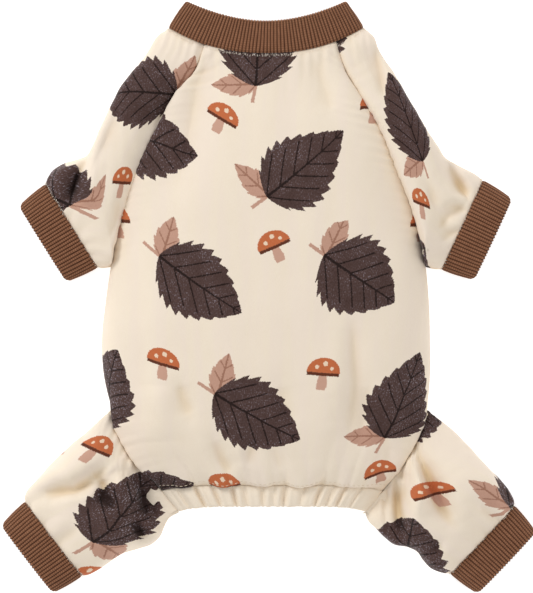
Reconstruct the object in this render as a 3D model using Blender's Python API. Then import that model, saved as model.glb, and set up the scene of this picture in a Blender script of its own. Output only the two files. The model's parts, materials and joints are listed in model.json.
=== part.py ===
"""A small dog's four-leg fleece jumpsuit with rib-knit bands, lying flat with its back panel up.

Lengths are metres. +X is to the right as seen from above with the neck at the top, +Y points towards
the neck and +Z up. The origin is on the surface that the jumpsuit lies on, under the middle of its box.
Each cloth piece is a wall with its true hollow: a grid of rows from one seam to the next is worked out
on the outer side and thickened inwards. Tables hold shares of the named sizes.
"""

import math

import bpy
import numpy as np

# Walls and seams
FLEECE_WALL = 0.0020  # short-pile fleece
RIB_WALL = 0.0024  # rib knit, folded double
SEAM_GAP = 0.0004  # left open between two pieces that are sewn together

# Body
BODY_LENGTH = 0.289  # from the middle of the neck seam to the edge of the hem
BODY_WIDTH = 0.210  # side fold to side fold, where it is widest
BODY_LOFT = 0.042  # how high the back panel stands off the surface below it
NECK_FORWARD = 0.1558  # from the origin to the middle of the neck seam
BODY_ASIDE = 0.0017  # from the body's middle line to the origin, as the right leg lies further out
EDGE_HEIGHT = 0.008  # of every side fold above the surface

# Collar
NECK_WIDTH = 0.124  # across the neck seam
NECK_DROP = 0.0166  # from the corners of the neck seam to its middle
NECK_LOFT = 0.021
COLLAR_HEIGHT = 0.0205  # at the middle of the back
MOUTH_WIDTH = 0.102  # across the collar's free edge
MOUTH_DROP = 0.0128
MOUTH_LOFT = 0.017

# Hem, a gathered casing with elastic
HEM_HEIGHT = 0.0135
HEM_WIDTH = 0.141  # across the seam that joins it to the panels
HEM_MOUTH_WIDTH = 0.119  # across its free edge
HEM_DROP = 0.0042  # its ends hang this far behind its middle
HEM_LOFT = 0.019
HEM_PLEATS = 15
PLEAT_DEPTH = 0.0016
BELLY_RISE = 0.030  # the belly side of the hem is cut this far forward

# Sleeves and legs
SLEEVE_LENGTH = 0.141  # corner of the neck seam to the middle of the cuff seam
SLEEVE_LOFT = 0.030
SLEEVE_CUFF_WIDTH = 0.062  # across the seam
SLEEVE_CUFF_HEIGHT = 0.0215
LEG_LENGTH = 0.091  # side fold to the middle of the cuff seam
LEG_LOFT = 0.032
LEG_CUFF_WIDTH = 0.059
LEG_CUFF_HEIGHT = 0.0212
CUFF_LOFT = 0.0175
CUFF_TAPER = 0.92  # width of a cuff's free edge, as a share of its seam

# How the cloth lies, the same for every size
LENS_POWER = 2.6  # a higher power makes a flatter top with steeper sides
BODY_FLAT = 0.80  # share of the underside that lies flat
LIMB_FLAT = 0.60
NECK_POWER = 2.3  # how the neck seam curves from its corners to its middle
MOUTH_POWER = 1.9
HEM_POWER = 6.0
CUT_START = (-0.63, 0.72)  # where each sleeve's top seam meets the neck seam, in half widths

# The two long edges of the back panel, from the neck down: a sleeve seam, a side seam and a leg seam.
# along is a share of BODY_LENGTH, left and right of half of BODY_WIDTH, seam and loft of BODY_LOFT,
# and under, the height of the belly panel's edge, of EDGE_HEIGHT.
EDGE_COLUMNS = ("along", "left", "right", "seam", "loft", "under")
EDGE_ROWS = (
    (0.040, -0.433, 0.482, 0.42, 0.60, 0.00),
    (0.093, -0.543, 0.567, 0.43, 0.69, 0.00),
    (0.160, -0.640, 0.677, 0.43, 0.78, 0.00),
    (0.235, -0.744, 0.768, 0.40, 0.86, 0.00),
    (0.324, -0.835, 0.860, 0.34, 0.92, 0.05),
    (0.401, -0.902, 0.927, 0.26, 0.96, 0.40),
    (0.470, -0.945, 0.972, 0.19, 0.98, 1.00),
    (0.545, -0.976, 0.992, 0.19, 1.00, 1.00),
    (0.634, -1.000, 1.000, 0.19, 1.00, 1.00),
    (0.712, -0.988, 1.000, 0.19, 0.98, 1.00),
    (0.785, -0.939, 0.976, 0.19, 0.93, 1.00),
    (0.849, -0.872, 0.915, 0.30, 0.85, 0.40),
    (0.900, -0.793, 0.841, 0.36, 0.75, 0.10),
    (0.936, -0.707, 0.780, 0.34, 0.64, 0.30),
)
UNDERARM = 0.470  # where a sleeve seam ends and a side seam starts, along the body
LEG_START = 0.785  # where a side seam ends and a leg seam starts

# How each sleeve and leg lies. drop is the angle below the X axis from its root to its cuff, cuff the
# angle of the cuff's own axis, in degrees.
LIMB_COLUMNS = ("side", "drop", "cuff")
SLEEVES = {"left": (-1, 63.8, 32.0), "right": (1, 63.3, 25.0)}
LEGS = {"left": (-1, 66.0, 37.5), "right": (1, 66.9, 43.5)}

# The outlines of the sleeves and legs, as points between two corners: along is the share of the way,
# out the distance off the straight line, as a share of the same way, positive away from the body.
SHOULDER_LINE = {
    "left": (
        (0.066, 0.019),
        (0.160, 0.010),
        (0.292, 0.012),
        (0.433, 0.000),
        (0.565, -0.028),
        (0.700, -0.062),
        (0.756, -0.068),
        (0.803, -0.042),
        (0.869, 0.002),
        (0.930, 0.020),
    ),
    "right": (
        (0.067, 0.018),
        (0.129, -0.002),
        (0.271, -0.021),
        (0.413, -0.040),
        (0.558, -0.056),
        (0.703, -0.071),
        (0.788, -0.079),
        (0.844, -0.057),
        (0.935, -0.017),
    ),
}
THIGH_LINE = {
    "left": (
        (0.136, 0.012),
        (0.264, 0.018),
        (0.425, 0.044),
        (0.558, 0.054),
        (0.697, 0.063),
        (0.820, 0.060),
        (0.943, 0.045),
    ),
    "right": (
        (0.136, 0.020),
        (0.281, 0.042),
        (0.410, 0.051),
        (0.535, 0.053),
        (0.659, 0.055),
        (0.789, 0.057),
        (0.898, 0.044),
        (0.953, 0.026),
    ),
}
INSEAM_LINE = {
    "left": (
        (0.100, -0.005),
        (0.179, 0.037),
        (0.243, 0.084),
        (0.346, 0.104),
        (0.472, 0.074),
        (0.600, 0.035),
        (0.737, 0.035),
        (0.842, 0.039),
        (0.934, 0.023),
    ),
    "right": (
        (0.073, 0.046),
        (0.174, 0.066),
        (0.286, 0.088),
        (0.408, 0.090),
        (0.529, 0.036),
        (0.621, 0.018),
        (0.718, 0.045),
        (0.838, 0.062),
        (0.930, 0.035),
    ),
}

# The main folds of the upper side. Each runs through three places, which are shares of half of
# BODY_WIDTH across and of BODY_LENGTH along. width and depth are shares of BODY_LOFT, and a positive
# depth is a ridge.
FOLD_COLUMNS = ("x0", "y0", "x1", "y1", "x2", "y2", "width", "depth")
BACK_FOLDS = (
    (-0.37, 0.004, -0.62, 0.128, -0.84, 0.334, 0.23, 0.09),
    (-0.32, 0.009, -0.41, 0.084, -0.52, 0.275, 0.26, -0.11),
    (0.29, 0.009, 0.34, 0.066, 0.39, 0.128, 0.21, -0.06),
    (0.40, 0.013, 0.49, 0.084, 0.65, 0.190, 0.21, 0.05),
    (0.52, 0.602, 0.54, 0.722, 0.51, 0.833, 0.19, -0.07),
    (0.44, 0.611, 0.44, 0.722, 0.41, 0.810, 0.21, 0.03),
    (0.62, 0.733, 0.60, 0.788, 0.56, 0.866, 0.19, -0.05),
    (-0.52, 0.731, -0.50, 0.762, -0.46, 0.797, 0.14, -0.05),
    (-0.65, 0.733, -0.66, 0.788, -0.65, 0.855, 0.29, 0.06),
    (0.08, 0.735, 0.10, 0.771, 0.13, 0.819, 0.19, -0.03),
    (0.38, 0.748, 0.41, 0.784, 0.44, 0.819, 0.17, -0.02),
    (-0.06, 0.855, -0.10, 0.881, -0.12, 0.912, 0.14, -0.04),
    (0.04, 0.864, 0.06, 0.886, 0.09, 0.921, 0.14, -0.03),
)
SLEEVE_FOLDS = {
    "left": (
        (-1.08, 0.226, -1.13, 0.261, -1.19, 0.317, 0.12, -0.17),
        (-1.01, 0.204, -1.07, 0.270, -1.13, 0.330, 0.17, 0.07),
        (-1.13, 0.248, -1.24, 0.255, -1.30, 0.277, 0.19, 0.07),
        (-0.60, 0.111, -0.77, 0.235, -0.89, 0.401, 0.29, -0.10),
        (-0.84, 0.084, -0.95, 0.173, -1.02, 0.246, 0.21, -0.05),
        (-0.48, 0.049, -0.57, 0.095, -0.66, 0.151, 0.12, -0.07),
    ),
    "right": (
        (0.66, -0.018, 0.69, 0.035, 0.72, 0.102, 0.14, -0.08),
        (0.52, -0.018, 0.59, -0.022, 0.65, -0.040, 0.24, 0.05),
        (1.10, 0.237, 1.15, 0.270, 1.22, 0.319, 0.12, -0.14),
        (1.15, 0.246, 1.23, 0.279, 1.29, 0.306, 0.12, 0.06),
        (1.04, 0.387, 1.11, 0.359, 1.21, 0.332, 0.12, -0.06),
        (1.06, 0.416, 1.13, 0.396, 1.20, 0.381, 0.12, -0.05),
        (0.79, 0.146, 0.93, 0.246, 1.04, 0.334, 0.24, -0.06),
    ),
}
LEG_FOLDS = {
    "left": (
        (-1.34, 0.970, -1.15, 0.965, -0.94, 0.906, 0.17, -0.13),
        (-1.26, 0.926, -1.08, 0.912, -0.94, 0.872, 0.26, 0.06),
        (-1.02, 0.939, -0.93, 0.915, -0.85, 0.903, 0.14, 0.08),
        (-1.00, 0.939, -0.98, 0.977, -0.91, 1.001, 0.14, -0.13),
        (-0.93, 0.948, -0.88, 0.959, -0.85, 0.988, 0.17, 0.06),
        (-0.82, 0.888, -0.78, 0.921, -0.73, 0.957, 0.14, -0.10),
        (-0.84, 0.974, -0.79, 1.019, -0.76, 1.081, 0.14, -0.14),
        (-0.72, 0.970, -0.68, 1.005, -0.65, 1.054, 0.14, -0.12),
        (-0.94, 1.032, -0.91, 1.067, -0.89, 1.103, 0.29, 0.06),
    ),
    "right": (
        (0.88, 0.901, 0.93, 0.961, 0.90, 1.019, 0.14, 0.10),
        (0.95, 0.901, 1.01, 0.961, 1.11, 1.032, 0.14, -0.14),
        (1.08, 0.903, 1.17, 0.965, 1.26, 1.019, 0.29, 0.04),
        (0.96, 1.109, 1.01, 1.094, 1.06, 1.078, 0.12, -0.10),
        (0.83, 0.921, 0.81, 0.988, 0.83, 1.076, 0.14, -0.13),
        (0.73, 0.965, 0.72, 1.010, 0.74, 1.067, 0.14, -0.12),
        (0.63, 0.983, 0.62, 1.005, 0.61, 1.032, 0.12, -0.06),
    ),
}

# How finely each grid is cut
PANEL_CROWD = 0.6  # how much the columns crowd towards the side folds
SEAM_STEPS = (10, 6, 4)  # rows of a panel along its sleeve, side and leg seams
BACK_COLUMNS, BELLY_COLUMNS = 28, 12
UNDERARM_STEPS, LEG_ROWS, LIMB_COLUMNS_COUNT = 3, 12, 26
CUFF_ROWS, COLLAR_ROWS, COLLAR_COLUMNS = 3, 4, 36
HEM_ROWS, HEM_TOP_COLUMNS = 3, 60

CREAM = (0.88, 0.80, 0.66)
BROWN = (0.25, 0.13, 0.07)


def clear_scene():
    for obj in list(bpy.data.objects):
        bpy.data.objects.remove(obj)


# Curves


def through(points, at):
    """Smooth curve through the points, read at shares from 0 to 1 of its length."""
    points = np.asarray(points, float)
    steps = np.linalg.norm(np.diff(points, axis=0), axis=1)
    along = np.concatenate([[0.0], np.cumsum(steps)]) / steps.sum()
    return hermite(along, points, at)


def hermite(along, values, at):
    """Cubic through the values at the places in along, with the slopes of their neighbours."""
    at = np.clip(np.asarray(at, float), along[0], along[-1])
    slope = np.gradient(values, along, axis=0)
    i = np.clip(np.searchsorted(along, at, side="right") - 1, 0, len(along) - 2)
    width = along[i + 1] - along[i]
    t = (at - along[i]) / width
    shape = (-1,) + (1,) * (values.ndim - 1)
    t, width = t.reshape(shape), width.reshape(shape)
    return (
        (2 * t**3 - 3 * t**2 + 1) * values[i]
        + (t**3 - 2 * t**2 + t) * width * slope[i]
        + (3 * t**2 - 2 * t**3) * values[i + 1]
        + (t**3 - t**2) * width * slope[i + 1]
    )


def outline(start, end, bends, side, at):
    """Points of a curve from start to end. Each bend is (along, out), both shares of the way."""
    start, end = np.asarray(start, float), np.asarray(end, float)
    way = end - start
    out = np.array([way[1], -way[0]]) * side
    points = [start] + [start + way * a - out * b for a, b in bends] + [end]
    return through(points, at)


def resample(row, count, trim=0.0, crowd=0.0):
    """The row's polyline cut back at both ends and read again at count points.

    They are evenly spaced at crowd 0, and crowded towards both ends at crowd 1."""
    steps = np.linalg.norm(np.diff(row, axis=0), axis=1)
    along = np.concatenate([[0.0], np.cumsum(steps)])
    share = np.linspace(0, 1, count)
    share = (1 - crowd) * share + crowd * (1 - np.cos(math.pi * share)) / 2
    at = trim + share * (along[-1] - 2 * trim)
    return np.stack([np.interp(at, along, row[:, k]) for k in range(3)], axis=1)


# Heights of cloth that lies on a surface


def lens(t):
    """Height of the upper cloth between two folds, 0 at t = -1 and 1, and 1 in the middle."""
    return np.sqrt(np.clip(1 - np.abs(t) ** LENS_POWER, 0, 1))


def cut_of(height):
    """The place in a lens, from 0 at its fold to 1 in its middle, where it has that height."""
    return 1 - (1 - np.clip(height, 0, 1) ** 2) ** (1 / LENS_POWER)


def belly(t, flat):
    """Height of the lower cloth, 0 where it lies flat and 1 at t = -1 and 1."""
    e = np.clip((np.abs(t) - flat) / (1 - flat), 0, 1)
    return 1 - np.sqrt(1 - e**2)


def folds_at(points, folds):
    """Sum of the folds' heights at the points. Each one fades sideways and past its two ends."""
    total = np.zeros(points.shape[:-1])
    for row in folds:
        fold = dict(zip(FOLD_COLUMNS, row))
        path = [body_place(fold[f"x{i}"], fold[f"y{i}"]) for i in range(3)]
        nearest = np.full(points.shape[:-1], np.inf)
        for start, end in zip(path, path[1:]):
            way, off = end - start, points[..., :2] - start
            t = np.clip((off @ way) / (way @ way), 0, 1)
            nearest = np.minimum(nearest, np.linalg.norm(off - t[..., None] * way, axis=-1))
        total += fold["depth"] * BODY_LOFT * np.exp(-((nearest / (fold["width"] * BODY_LOFT)) ** 2))
    return total


# Rings, the closed rows where two pieces meet


def body_place(across, along):
    """The point at a share of half of BODY_WIDTH across and a share of BODY_LENGTH down from the neck."""
    return np.array([-BODY_ASIDE + across * BODY_WIDTH / 2, NECK_FORWARD - along * BODY_LENGTH])


def flat_ring(t, upper, x, y, loft, flat=LIMB_FLAT):
    """A row of one side of a ring that lies flat, from its left fold at t = -1 to its right at t = 1."""
    if upper:
        z = EDGE_HEIGHT + (loft - EDGE_HEIGHT) * lens(t)
    else:
        z = EDGE_HEIGHT * belly(t, flat)
    return np.stack([x + 0 * t, y + 0 * t, z], axis=-1)


def neck_row(t, upper):
    y = NECK_FORWARD + NECK_DROP * np.abs(t) ** NECK_POWER
    return flat_ring(t, upper, -BODY_ASIDE + t * NECK_WIDTH / 2, y, NECK_LOFT, BODY_FLAT)


def mouth_row(t, upper):
    y = NECK_FORWARD + COLLAR_HEIGHT + MOUTH_DROP * np.abs(t) ** MOUTH_POWER
    return flat_ring(t, upper, -BODY_ASIDE + t * MOUTH_WIDTH / 2, y, MOUTH_LOFT, BODY_FLAT)


def hem_middle():
    """Across the body, the hem sits a little to the right of the middle line, as its seams do."""
    return -BODY_ASIDE + (EDGE_ROWS[-1][1] + EDGE_ROWS[-1][2]) / 4 * BODY_WIDTH


def hem_row(t, upper, free):
    """The hem's seam with the panels or, if free, its loose edge."""
    half = (HEM_MOUTH_WIDTH if free else HEM_WIDTH) / 2
    edge = NECK_FORWARD - BODY_LENGTH + (0 if free else HEM_HEIGHT)
    y = edge - HEM_DROP * np.abs(t) ** HEM_POWER
    if not upper:
        y = y + BELLY_RISE * (1 - t**2) ** 1.5
    return flat_ring(t, upper, hem_middle() + t * half, y, HEM_LOFT, BODY_FLAT)


class Limb:
    """A sleeve or leg: its root, the two ends of its cuff seam, and its cuff's free edge."""

    def __init__(self, root, length, lie, width, cuff_height):
        facts = dict(zip(LIMB_COLUMNS, lie))
        self.side = facts["side"]
        drop, cuff = math.radians(facts["drop"]), math.radians(facts["cuff"])
        self.root = np.asarray(root, float)
        middle = self.root + length * np.array([self.side * math.cos(drop), -math.sin(drop)])
        self.axis = np.array([self.side * math.cos(cuff), -math.sin(cuff)])
        across = np.array([self.side * math.sin(cuff), math.cos(cuff)]) * width / 2
        self.upper, self.lower = middle + across, middle - across
        end = middle + self.axis * cuff_height
        self.end_upper, self.end_lower = end + across * CUFF_TAPER, end - across * CUFF_TAPER

    def cuff_row(self, t, upper, free):
        """A row of the cuff from its lower fold at t = -1 to its upper fold at t = 1."""
        low, high = (self.end_lower, self.end_upper) if free else (self.lower, self.upper)
        place = (low + high) / 2 + t[..., None] * (high - low) / 2
        return flat_ring(t, upper, place[..., 0], place[..., 1], CUFF_LOFT)


def sleeve_limb(name):
    root = neck_row(np.array([float(SLEEVES[name][0])]), True)[0][:2]
    lie = SLEEVES[name]
    return Limb(root, SLEEVE_LENGTH, lie, SLEEVE_CUFF_WIDTH, SLEEVE_CUFF_HEIGHT)


def leg_limb(name):
    root = panel_edge(name, np.array([LEG_START]))[0][:2]
    return Limb(root, LEG_LENGTH, LEGS[name], LEG_CUFF_WIDTH, LEG_CUFF_HEIGHT)


# The long edges of the back and belly panels


def edge_table(name):
    """The places along the body, and the points of one edge of the back panel at them."""
    side = SLEEVES[name][0]
    rows = np.array(EDGE_ROWS)
    column = {key: rows[:, i] for i, key in enumerate(EDGE_COLUMNS)}
    plan = np.array([body_place(x, a) for x, a in zip(column[name], column["along"])])
    top = np.column_stack([plan, column["seam"] * BODY_LOFT])
    low = np.column_stack([plan, column["under"] * EDGE_HEIGHT])
    start = CUT_START[0 if side < 0 else 1]
    starts = [neck_row(np.array([start]), up)[0] for up in (True, False)]
    ends = [hem_row(np.array([float(side)]), up, False)[0] for up in (True, False)]
    reach = (NECK_FORWARD - ends[0][1]) / BODY_LENGTH
    along = np.concatenate([[0.0], column["along"], [reach]])
    top = np.vstack([starts[0], top, ends[0]])
    low = np.vstack([starts[1], low, ends[1]])
    return along, top, low


def panel_edge(name, along, upper=True):
    places, top, low = edge_table(name)
    row = hermite(places, top if upper else low, along)
    row[:, 2] = np.maximum(row[:, 2], EDGE_HEIGHT) if upper else np.clip(row[:, 2], 0, EDGE_HEIGHT)
    return row


def panel_steps(steps=SEAM_STEPS):
    """Places of a panel's rows along the body, with one at each end of its sleeve, side and leg seams."""
    stops = (0.0, UNDERARM, LEG_START, edge_table("left")[0][-1])
    spans = [np.linspace(a, b, n + 1)[:-1] for a, b, n in zip(stops, stops[1:], steps)]
    return np.concatenate([*spans, stops[-1:]])


def loft_at(along):
    places = edge_table("left")[0]
    lofts = [NECK_LOFT] + [row[EDGE_COLUMNS.index("loft")] * BODY_LOFT for row in EDGE_ROWS]
    return hermite(places, np.array(lofts + [HEM_LOFT]), along)


# Grids of points, rows by columns


def coons(first, last, left, right):
    """Plan of a four-sided piece from its four edges: first and last are rows, left and right columns."""
    u = np.linspace(0, 1, len(first))[None, :, None]
    v = np.linspace(0, 1, len(left))[:, None, None]
    ruled = (1 - v) * first[None] + v * last[None] + (1 - u) * left[:, None] + u * right[:, None]
    corners = (1 - v) * ((1 - u) * first[0] + u * first[-1]) + v * ((1 - u) * last[0] + u * last[-1])
    return ruled - corners


def match_row(grid, row, at_start, power, v=None):
    """Shifts the rows near one end so that the end row is the given one. The shift fades away."""
    v = np.linspace(0, 1, len(grid)) if v is None else v
    fade = (1 - v if at_start else v) ** power
    grid += fade[:, None, None] * (row - grid[0 if at_start else -1])[None]


def panel_grid(upper, dense=160, steps=SEAM_STEPS):
    """Upper or lower cloth of the body between its sleeve, side and leg seams."""
    along = panel_steps(steps)
    rows, end = len(along), along[-1]
    left, right = panel_edge("left", along, upper), panel_edge("right", along, upper)
    t = np.linspace(-1, 1, dense)
    t = np.sin(t * math.pi / 2)
    low, high = CUT_START
    first = neck_row(low + (high - low) * (t + 1) / 2, upper)
    last = hem_row(t, upper, False)
    share = (t + 1) / 2
    plan_first = first[:, :2]
    plan_last = last[:, :2]
    grid = np.zeros((rows, dense, 3))
    for k in range(rows):
        v = along[k] / end
        row = (1 - v) * plan_first + v * plan_last
        chord = row[0] + share[:, None] * (row[-1] - row[0])
        place = left[k, :2] + share[:, None] * (right[k, :2] - left[k, :2])
        grid[k, :, :2] = place + (row - chord)
    if upper:
        rise = loft_at(along)[:, None] - EDGE_HEIGHT
        start, stop = (cut_of((edge[:, 2:] - EDGE_HEIGHT) / rise) for edge in (left, right))
        grid[..., 2] = EDGE_HEIGHT + rise * lens(start - 1 + share * (2 - start - stop))
        grid[..., 2] += folds_at(grid, BACK_FOLDS) * lens(t)
    else:
        edge = left[:, 2:] * (1 - share) + right[:, 2:] * share
        grid[..., 2] = edge * belly(t, BODY_FLAT)
    match_row(grid, first, True, 8, along / end)
    match_row(grid, last, False, 8, along / end)
    return grid


def limb_half(edge_a, edge_b, first, last, heights, upper, folds):
    """One side, upper or lower, of a sleeve or leg. Rows run from edge_a to edge_b, root to cuff."""
    dense = len(first)
    grid = np.zeros((len(edge_a), dense, 3))
    grid[..., :2] = coons(first[:, :2], last[:, :2], edge_a[:, :2], edge_b[:, :2])
    share = np.linspace(0, 1, dense)[None, :]
    a, b = edge_a[:, 2:3], edge_b[:, 2:3]
    if upper:
        top = heights[:, None]
        start = cut_of((a - b) / (top - b)) / 2
        t = 2 * (start + (1 - start) * share) - 1
        grid[..., 2] = b + (top - b) * lens(t)
        grid[..., 2] += folds_at(grid, folds) * lens(2 * share - 1)
    else:
        start = np.where(a < EDGE_HEIGHT, 0.5 * (1 - a / EDGE_HEIGHT), 0)
        t = 2 * (start + (1 - start) * share) - 1
        grid[..., 2] = EDGE_HEIGHT * belly(t, LIMB_FLAT)
    match_row(grid, first, True, 4)
    match_row(grid, last, False, 6)
    return grid


def sleeve_grid(name, seam_steps=SEAM_STEPS, under_steps=UNDERARM_STEPS, dense=90):
    """A sleeve from the neck seam to its cuff: open above the underarm, closed below it."""
    limb = sleeve_limb(name)
    along = panel_steps(seam_steps)[: seam_steps[0] + 1]
    rows = len(along) + under_steps
    steps = np.linspace(0, 1, rows)
    shoulder = outline(limb.root, limb.upper, SHOULDER_LINE[name], limb.side, steps)
    edge_b = np.column_stack([shoulder, np.full(rows, EDGE_HEIGHT)])
    middle = np.column_stack([[limb.lower], [EDGE_HEIGHT]])
    halves = []
    for upper in (True, False):
        seam = panel_edge(name, along, upper)
        seam[-1, 2] = EDGE_HEIGHT
        under = seam[-1] + np.linspace(0, 1, under_steps + 1)[1:, None] * (middle - seam[-1])
        edge_a = np.vstack([seam, under])
        cut = CUT_START[0 if limb.side < 0 else 1]
        spread = cut + (limb.side - cut) * (1 - np.cos(np.linspace(0, math.pi, dense))) / 2
        first = neck_row(spread, upper)
        last = limb.cuff_row(-np.cos(np.linspace(0, math.pi, dense)), upper, False)
        heights = hermite(
            np.array([0.0, 0.35, 0.75, 1.0]),
            np.array([NECK_LOFT, SLEEVE_LOFT, SLEEVE_LOFT * 0.92, CUFF_LOFT]),
            steps,
        )
        folds = SLEEVE_FOLDS[name]
        halves.append(limb_half(edge_a, edge_b, first, last, heights, upper, folds))
    return halves, len(along) - 1


def leg_grid(name, rows=LEG_ROWS, dense=90):
    """A leg from the body to its cuff, closed all the way."""
    limb = leg_limb(name)
    steps = np.linspace(0, 1, rows)
    corner = hem_row(np.array([float(limb.side)]), True, True)[0]
    thigh = outline(limb.root, limb.upper, THIGH_LINE[name], limb.side, steps)
    inseam = outline(corner[:2], limb.lower, INSEAM_LINE[name], -limb.side, steps)
    edge_a = np.column_stack([inseam, np.full(rows, EDGE_HEIGHT)])
    edge_b = np.column_stack([thigh, np.full(rows, EDGE_HEIGHT)])
    halves = []
    for upper in (True, False):
        places = np.linspace(LEG_START, edge_table(name)[0][-1], dense)
        seam = panel_edge(name, places, upper)
        hem = hem_row(np.array([float(limb.side)]), upper, False)[0]
        way = np.linspace(0, 1, 12)[1:, None]
        side = hem + way * (corner - hem)
        first = resample(np.vstack([seam, side])[::-1], dense)
        last = limb.cuff_row(-np.cos(np.linspace(0, math.pi, dense)), upper, False)
        heights = hermite(
            np.array([0.0, 0.30, 0.75, 1.0]),
            np.array([LEG_LOFT * 0.86, LEG_LOFT, LEG_LOFT * 0.90, CUFF_LOFT]),
            steps,
        )
        halves.append(limb_half(edge_a, edge_b, first, last, heights, upper, LEG_FOLDS[name]))
    return halves, 0


def tube_rows(top, under, columns, gap=SEAM_GAP):
    """Joins the two sides of a tube row by row, and reads each row at even spacing."""
    grid = []
    for high, low in zip(top, under):
        loop = np.vstack([high, low[::-1][1:]])
        grid.append(resample(loop, columns + 1))
    grid = np.array(grid)
    pull_in(grid, gap)
    return grid


def pull_in(grid, gap=SEAM_GAP):
    """Moves the first and last rows towards their neighbours by half a seam's gap."""
    for end, next_row in ((0, 1), (-1, -2)):
        step = grid[next_row] - grid[end]
        length = np.linalg.norm(step, axis=1, keepdims=True)
        grid[end] += step / np.maximum(length, 1e-9) * gap / 2


# Solids


def into_wall(edge, beside):
    """Directions into the wall along a sewn edge: level at a fold, upright on the lower or upper side."""
    level = beside - edge
    level[:, 2] = 0
    level /= np.linalg.norm(level, axis=1, keepdims=True)
    fold = np.clip(edge[:, 2:] / EDGE_HEIGHT, 0, 1)
    over = np.clip(edge[:, 2:] / EDGE_HEIGHT - 1, 0, 1)
    way = fold * (1 - over) * level + (1 - fold - over) * np.array([0.0, 0.0, 1.0])
    return way / np.linalg.norm(way, axis=1, keepdims=True)


def upright(row, normal, closed):
    """Turns a seam row's normals into the upright surface through the row, which both pieces share."""
    after, before = np.roll(row, -1, axis=0) - row, np.roll(row, 1, axis=0) - row
    if not closed:
        after[-1], before[0] = 0, 0
    ahead = np.linalg.norm(after[:, :2], axis=1) >= np.linalg.norm(before[:, :2], axis=1)
    along = np.where(ahead[:, None], after, before)[:, :2]
    along /= np.maximum(np.linalg.norm(along, axis=1, keepdims=True), 1e-9)
    across = np.column_stack([along[:, 1], -along[:, 0], np.zeros(len(row))])
    normal = normal - (normal * across).sum(axis=1, keepdims=True) * across
    return normal / np.linalg.norm(normal, axis=1, keepdims=True)


def thicken(name, grid, wall, closed_from=None):
    """Makes a wall from a grid on its outer side. Rows from closed_from on are closed into a tube."""
    rows, columns = grid.shape[:2]
    index = np.arange(rows * columns).reshape(rows, columns)
    if closed_from is not None:
        index[closed_from:, -1] = index[closed_from:, 0]
    points = grid.reshape(-1, 3).copy()
    quads = np.stack(
        [index[:-1, :-1], index[:-1, 1:], index[1:, 1:], index[1:, :-1]], axis=-1
    ).reshape(-1, 4)
    a, b, c, d = (points[quads[:, i]] for i in range(4))
    face_normal = np.cross(c - a, d - b)
    normal = np.zeros_like(points)
    for i in range(4):
        np.add.at(normal, quads[:, i], face_normal)
    length = np.linalg.norm(normal, axis=1, keepdims=True)
    normal /= np.maximum(length, 1e-12)
    open_rows = rows if closed_from is None else closed_from
    if open_rows:
        for edge, beside in ((0, 1), (-1, -2)):
            ways = into_wall(grid[:open_rows, edge].copy(), grid[:open_rows, beside])
            normal[index[:open_rows, edge]] = -ways
    for end in (0, -1):
        closed = closed_from is not None and end % rows >= closed_from
        ring = index[end, :-1] if closed else index[end]
        normal[ring] = upright(points[ring], normal[ring], closed)
    used = np.unique(quads)
    renumber = np.full(len(points), -1)
    renumber[used] = np.arange(len(used))
    outer = points[used]
    inner = outer - normal[used] * wall
    quads = renumber[quads]
    count = len(used)
    edges = np.concatenate([quads[:, [i, (i + 1) % 4]] for i in range(4)])
    seen = {tuple(e) for e in edges.tolist()}
    rim = [(b, a, a + count, b + count) for a, b in seen if (b, a) not in seen]
    faces = quads.tolist() + (quads[:, ::-1] + count).tolist() + rim
    mesh = bpy.data.meshes.new(name)
    mesh.from_pydata(np.vstack([outer, inner]).tolist(), [], faces)
    mesh.update()
    obj = bpy.data.objects.new(name, mesh)
    bpy.context.scene.collection.objects.link(obj)
    mesh.shade_smooth()
    return obj


def finish(obj, material):
    obj.data.materials.append(material)
    return obj


def cloth_material(name, colour, roughness):
    material = bpy.data.materials.new(name)
    material.use_nodes = True
    shader = material.node_tree.nodes["Principled BSDF"]
    shader.inputs["Base Color"].default_value = (*colour, 1)
    shader.inputs["Roughness"].default_value = roughness
    shader.inputs["Metallic"].default_value = 0
    return material


# Pieces


def build_panels(fleece):
    for name, upper, columns in (
        ("back_panel", True, BACK_COLUMNS),
        ("belly_panel", False, BELLY_COLUMNS),
    ):
        fine = panel_grid(upper)
        half = SEAM_GAP / 2
        grid = np.array([resample(row, columns + 1, half, PANEL_CROWD) for row in fine])[::-1]
        pull_in(grid)
        if not upper:
            grid = grid[:, ::-1]
        finish(thicken(name, grid, FLEECE_WALL), fleece)


def outward(grid, side):
    """Turns the columns round on one side, so that every piece's faces point outwards."""
    return grid[:, ::-1] if side > 0 else grid


def build_limbs(fleece, rib):
    for kind, lies, make, limb_of in (
        ("sleeve", SLEEVES, sleeve_grid, sleeve_limb),
        ("leg", LEGS, leg_grid, leg_limb),
    ):
        for name in lies:
            limb = limb_of(name)
            (top, under), closed_from = make(name)
            half = SEAM_GAP / 2
            grid = []
            for k, (high, low) in enumerate(zip(top, under)):
                loop = np.vstack([high, low[::-1][1:]])
                trim = half if k < closed_from else 0
                grid.append(resample(loop, LIMB_COLUMNS_COUNT + 1, trim))
            grid = np.array(grid)
            pull_in(grid)
            grid = outward(grid, limb.side)
            finish(thicken(f"{kind}_{name}", grid, FLEECE_WALL, closed_from), fleece)
            build_cuff(f"{kind}_cuff_{name}", limb, rib)


def build_cuff(name, limb, rib):
    t = -np.cos(np.linspace(0, math.pi, 60))
    sides = []
    for upper in (True, False):
        near, far = limb.cuff_row(t, upper, False), limb.cuff_row(t, upper, True)
        v = np.linspace(0, 1, CUFF_ROWS)[:, None, None]
        sides.append(near + v * (far - near))
    grid = outward(tube_rows(*sides, LIMB_COLUMNS_COUNT), limb.side)
    finish(thicken(name, grid, RIB_WALL, 0), rib)


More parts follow.
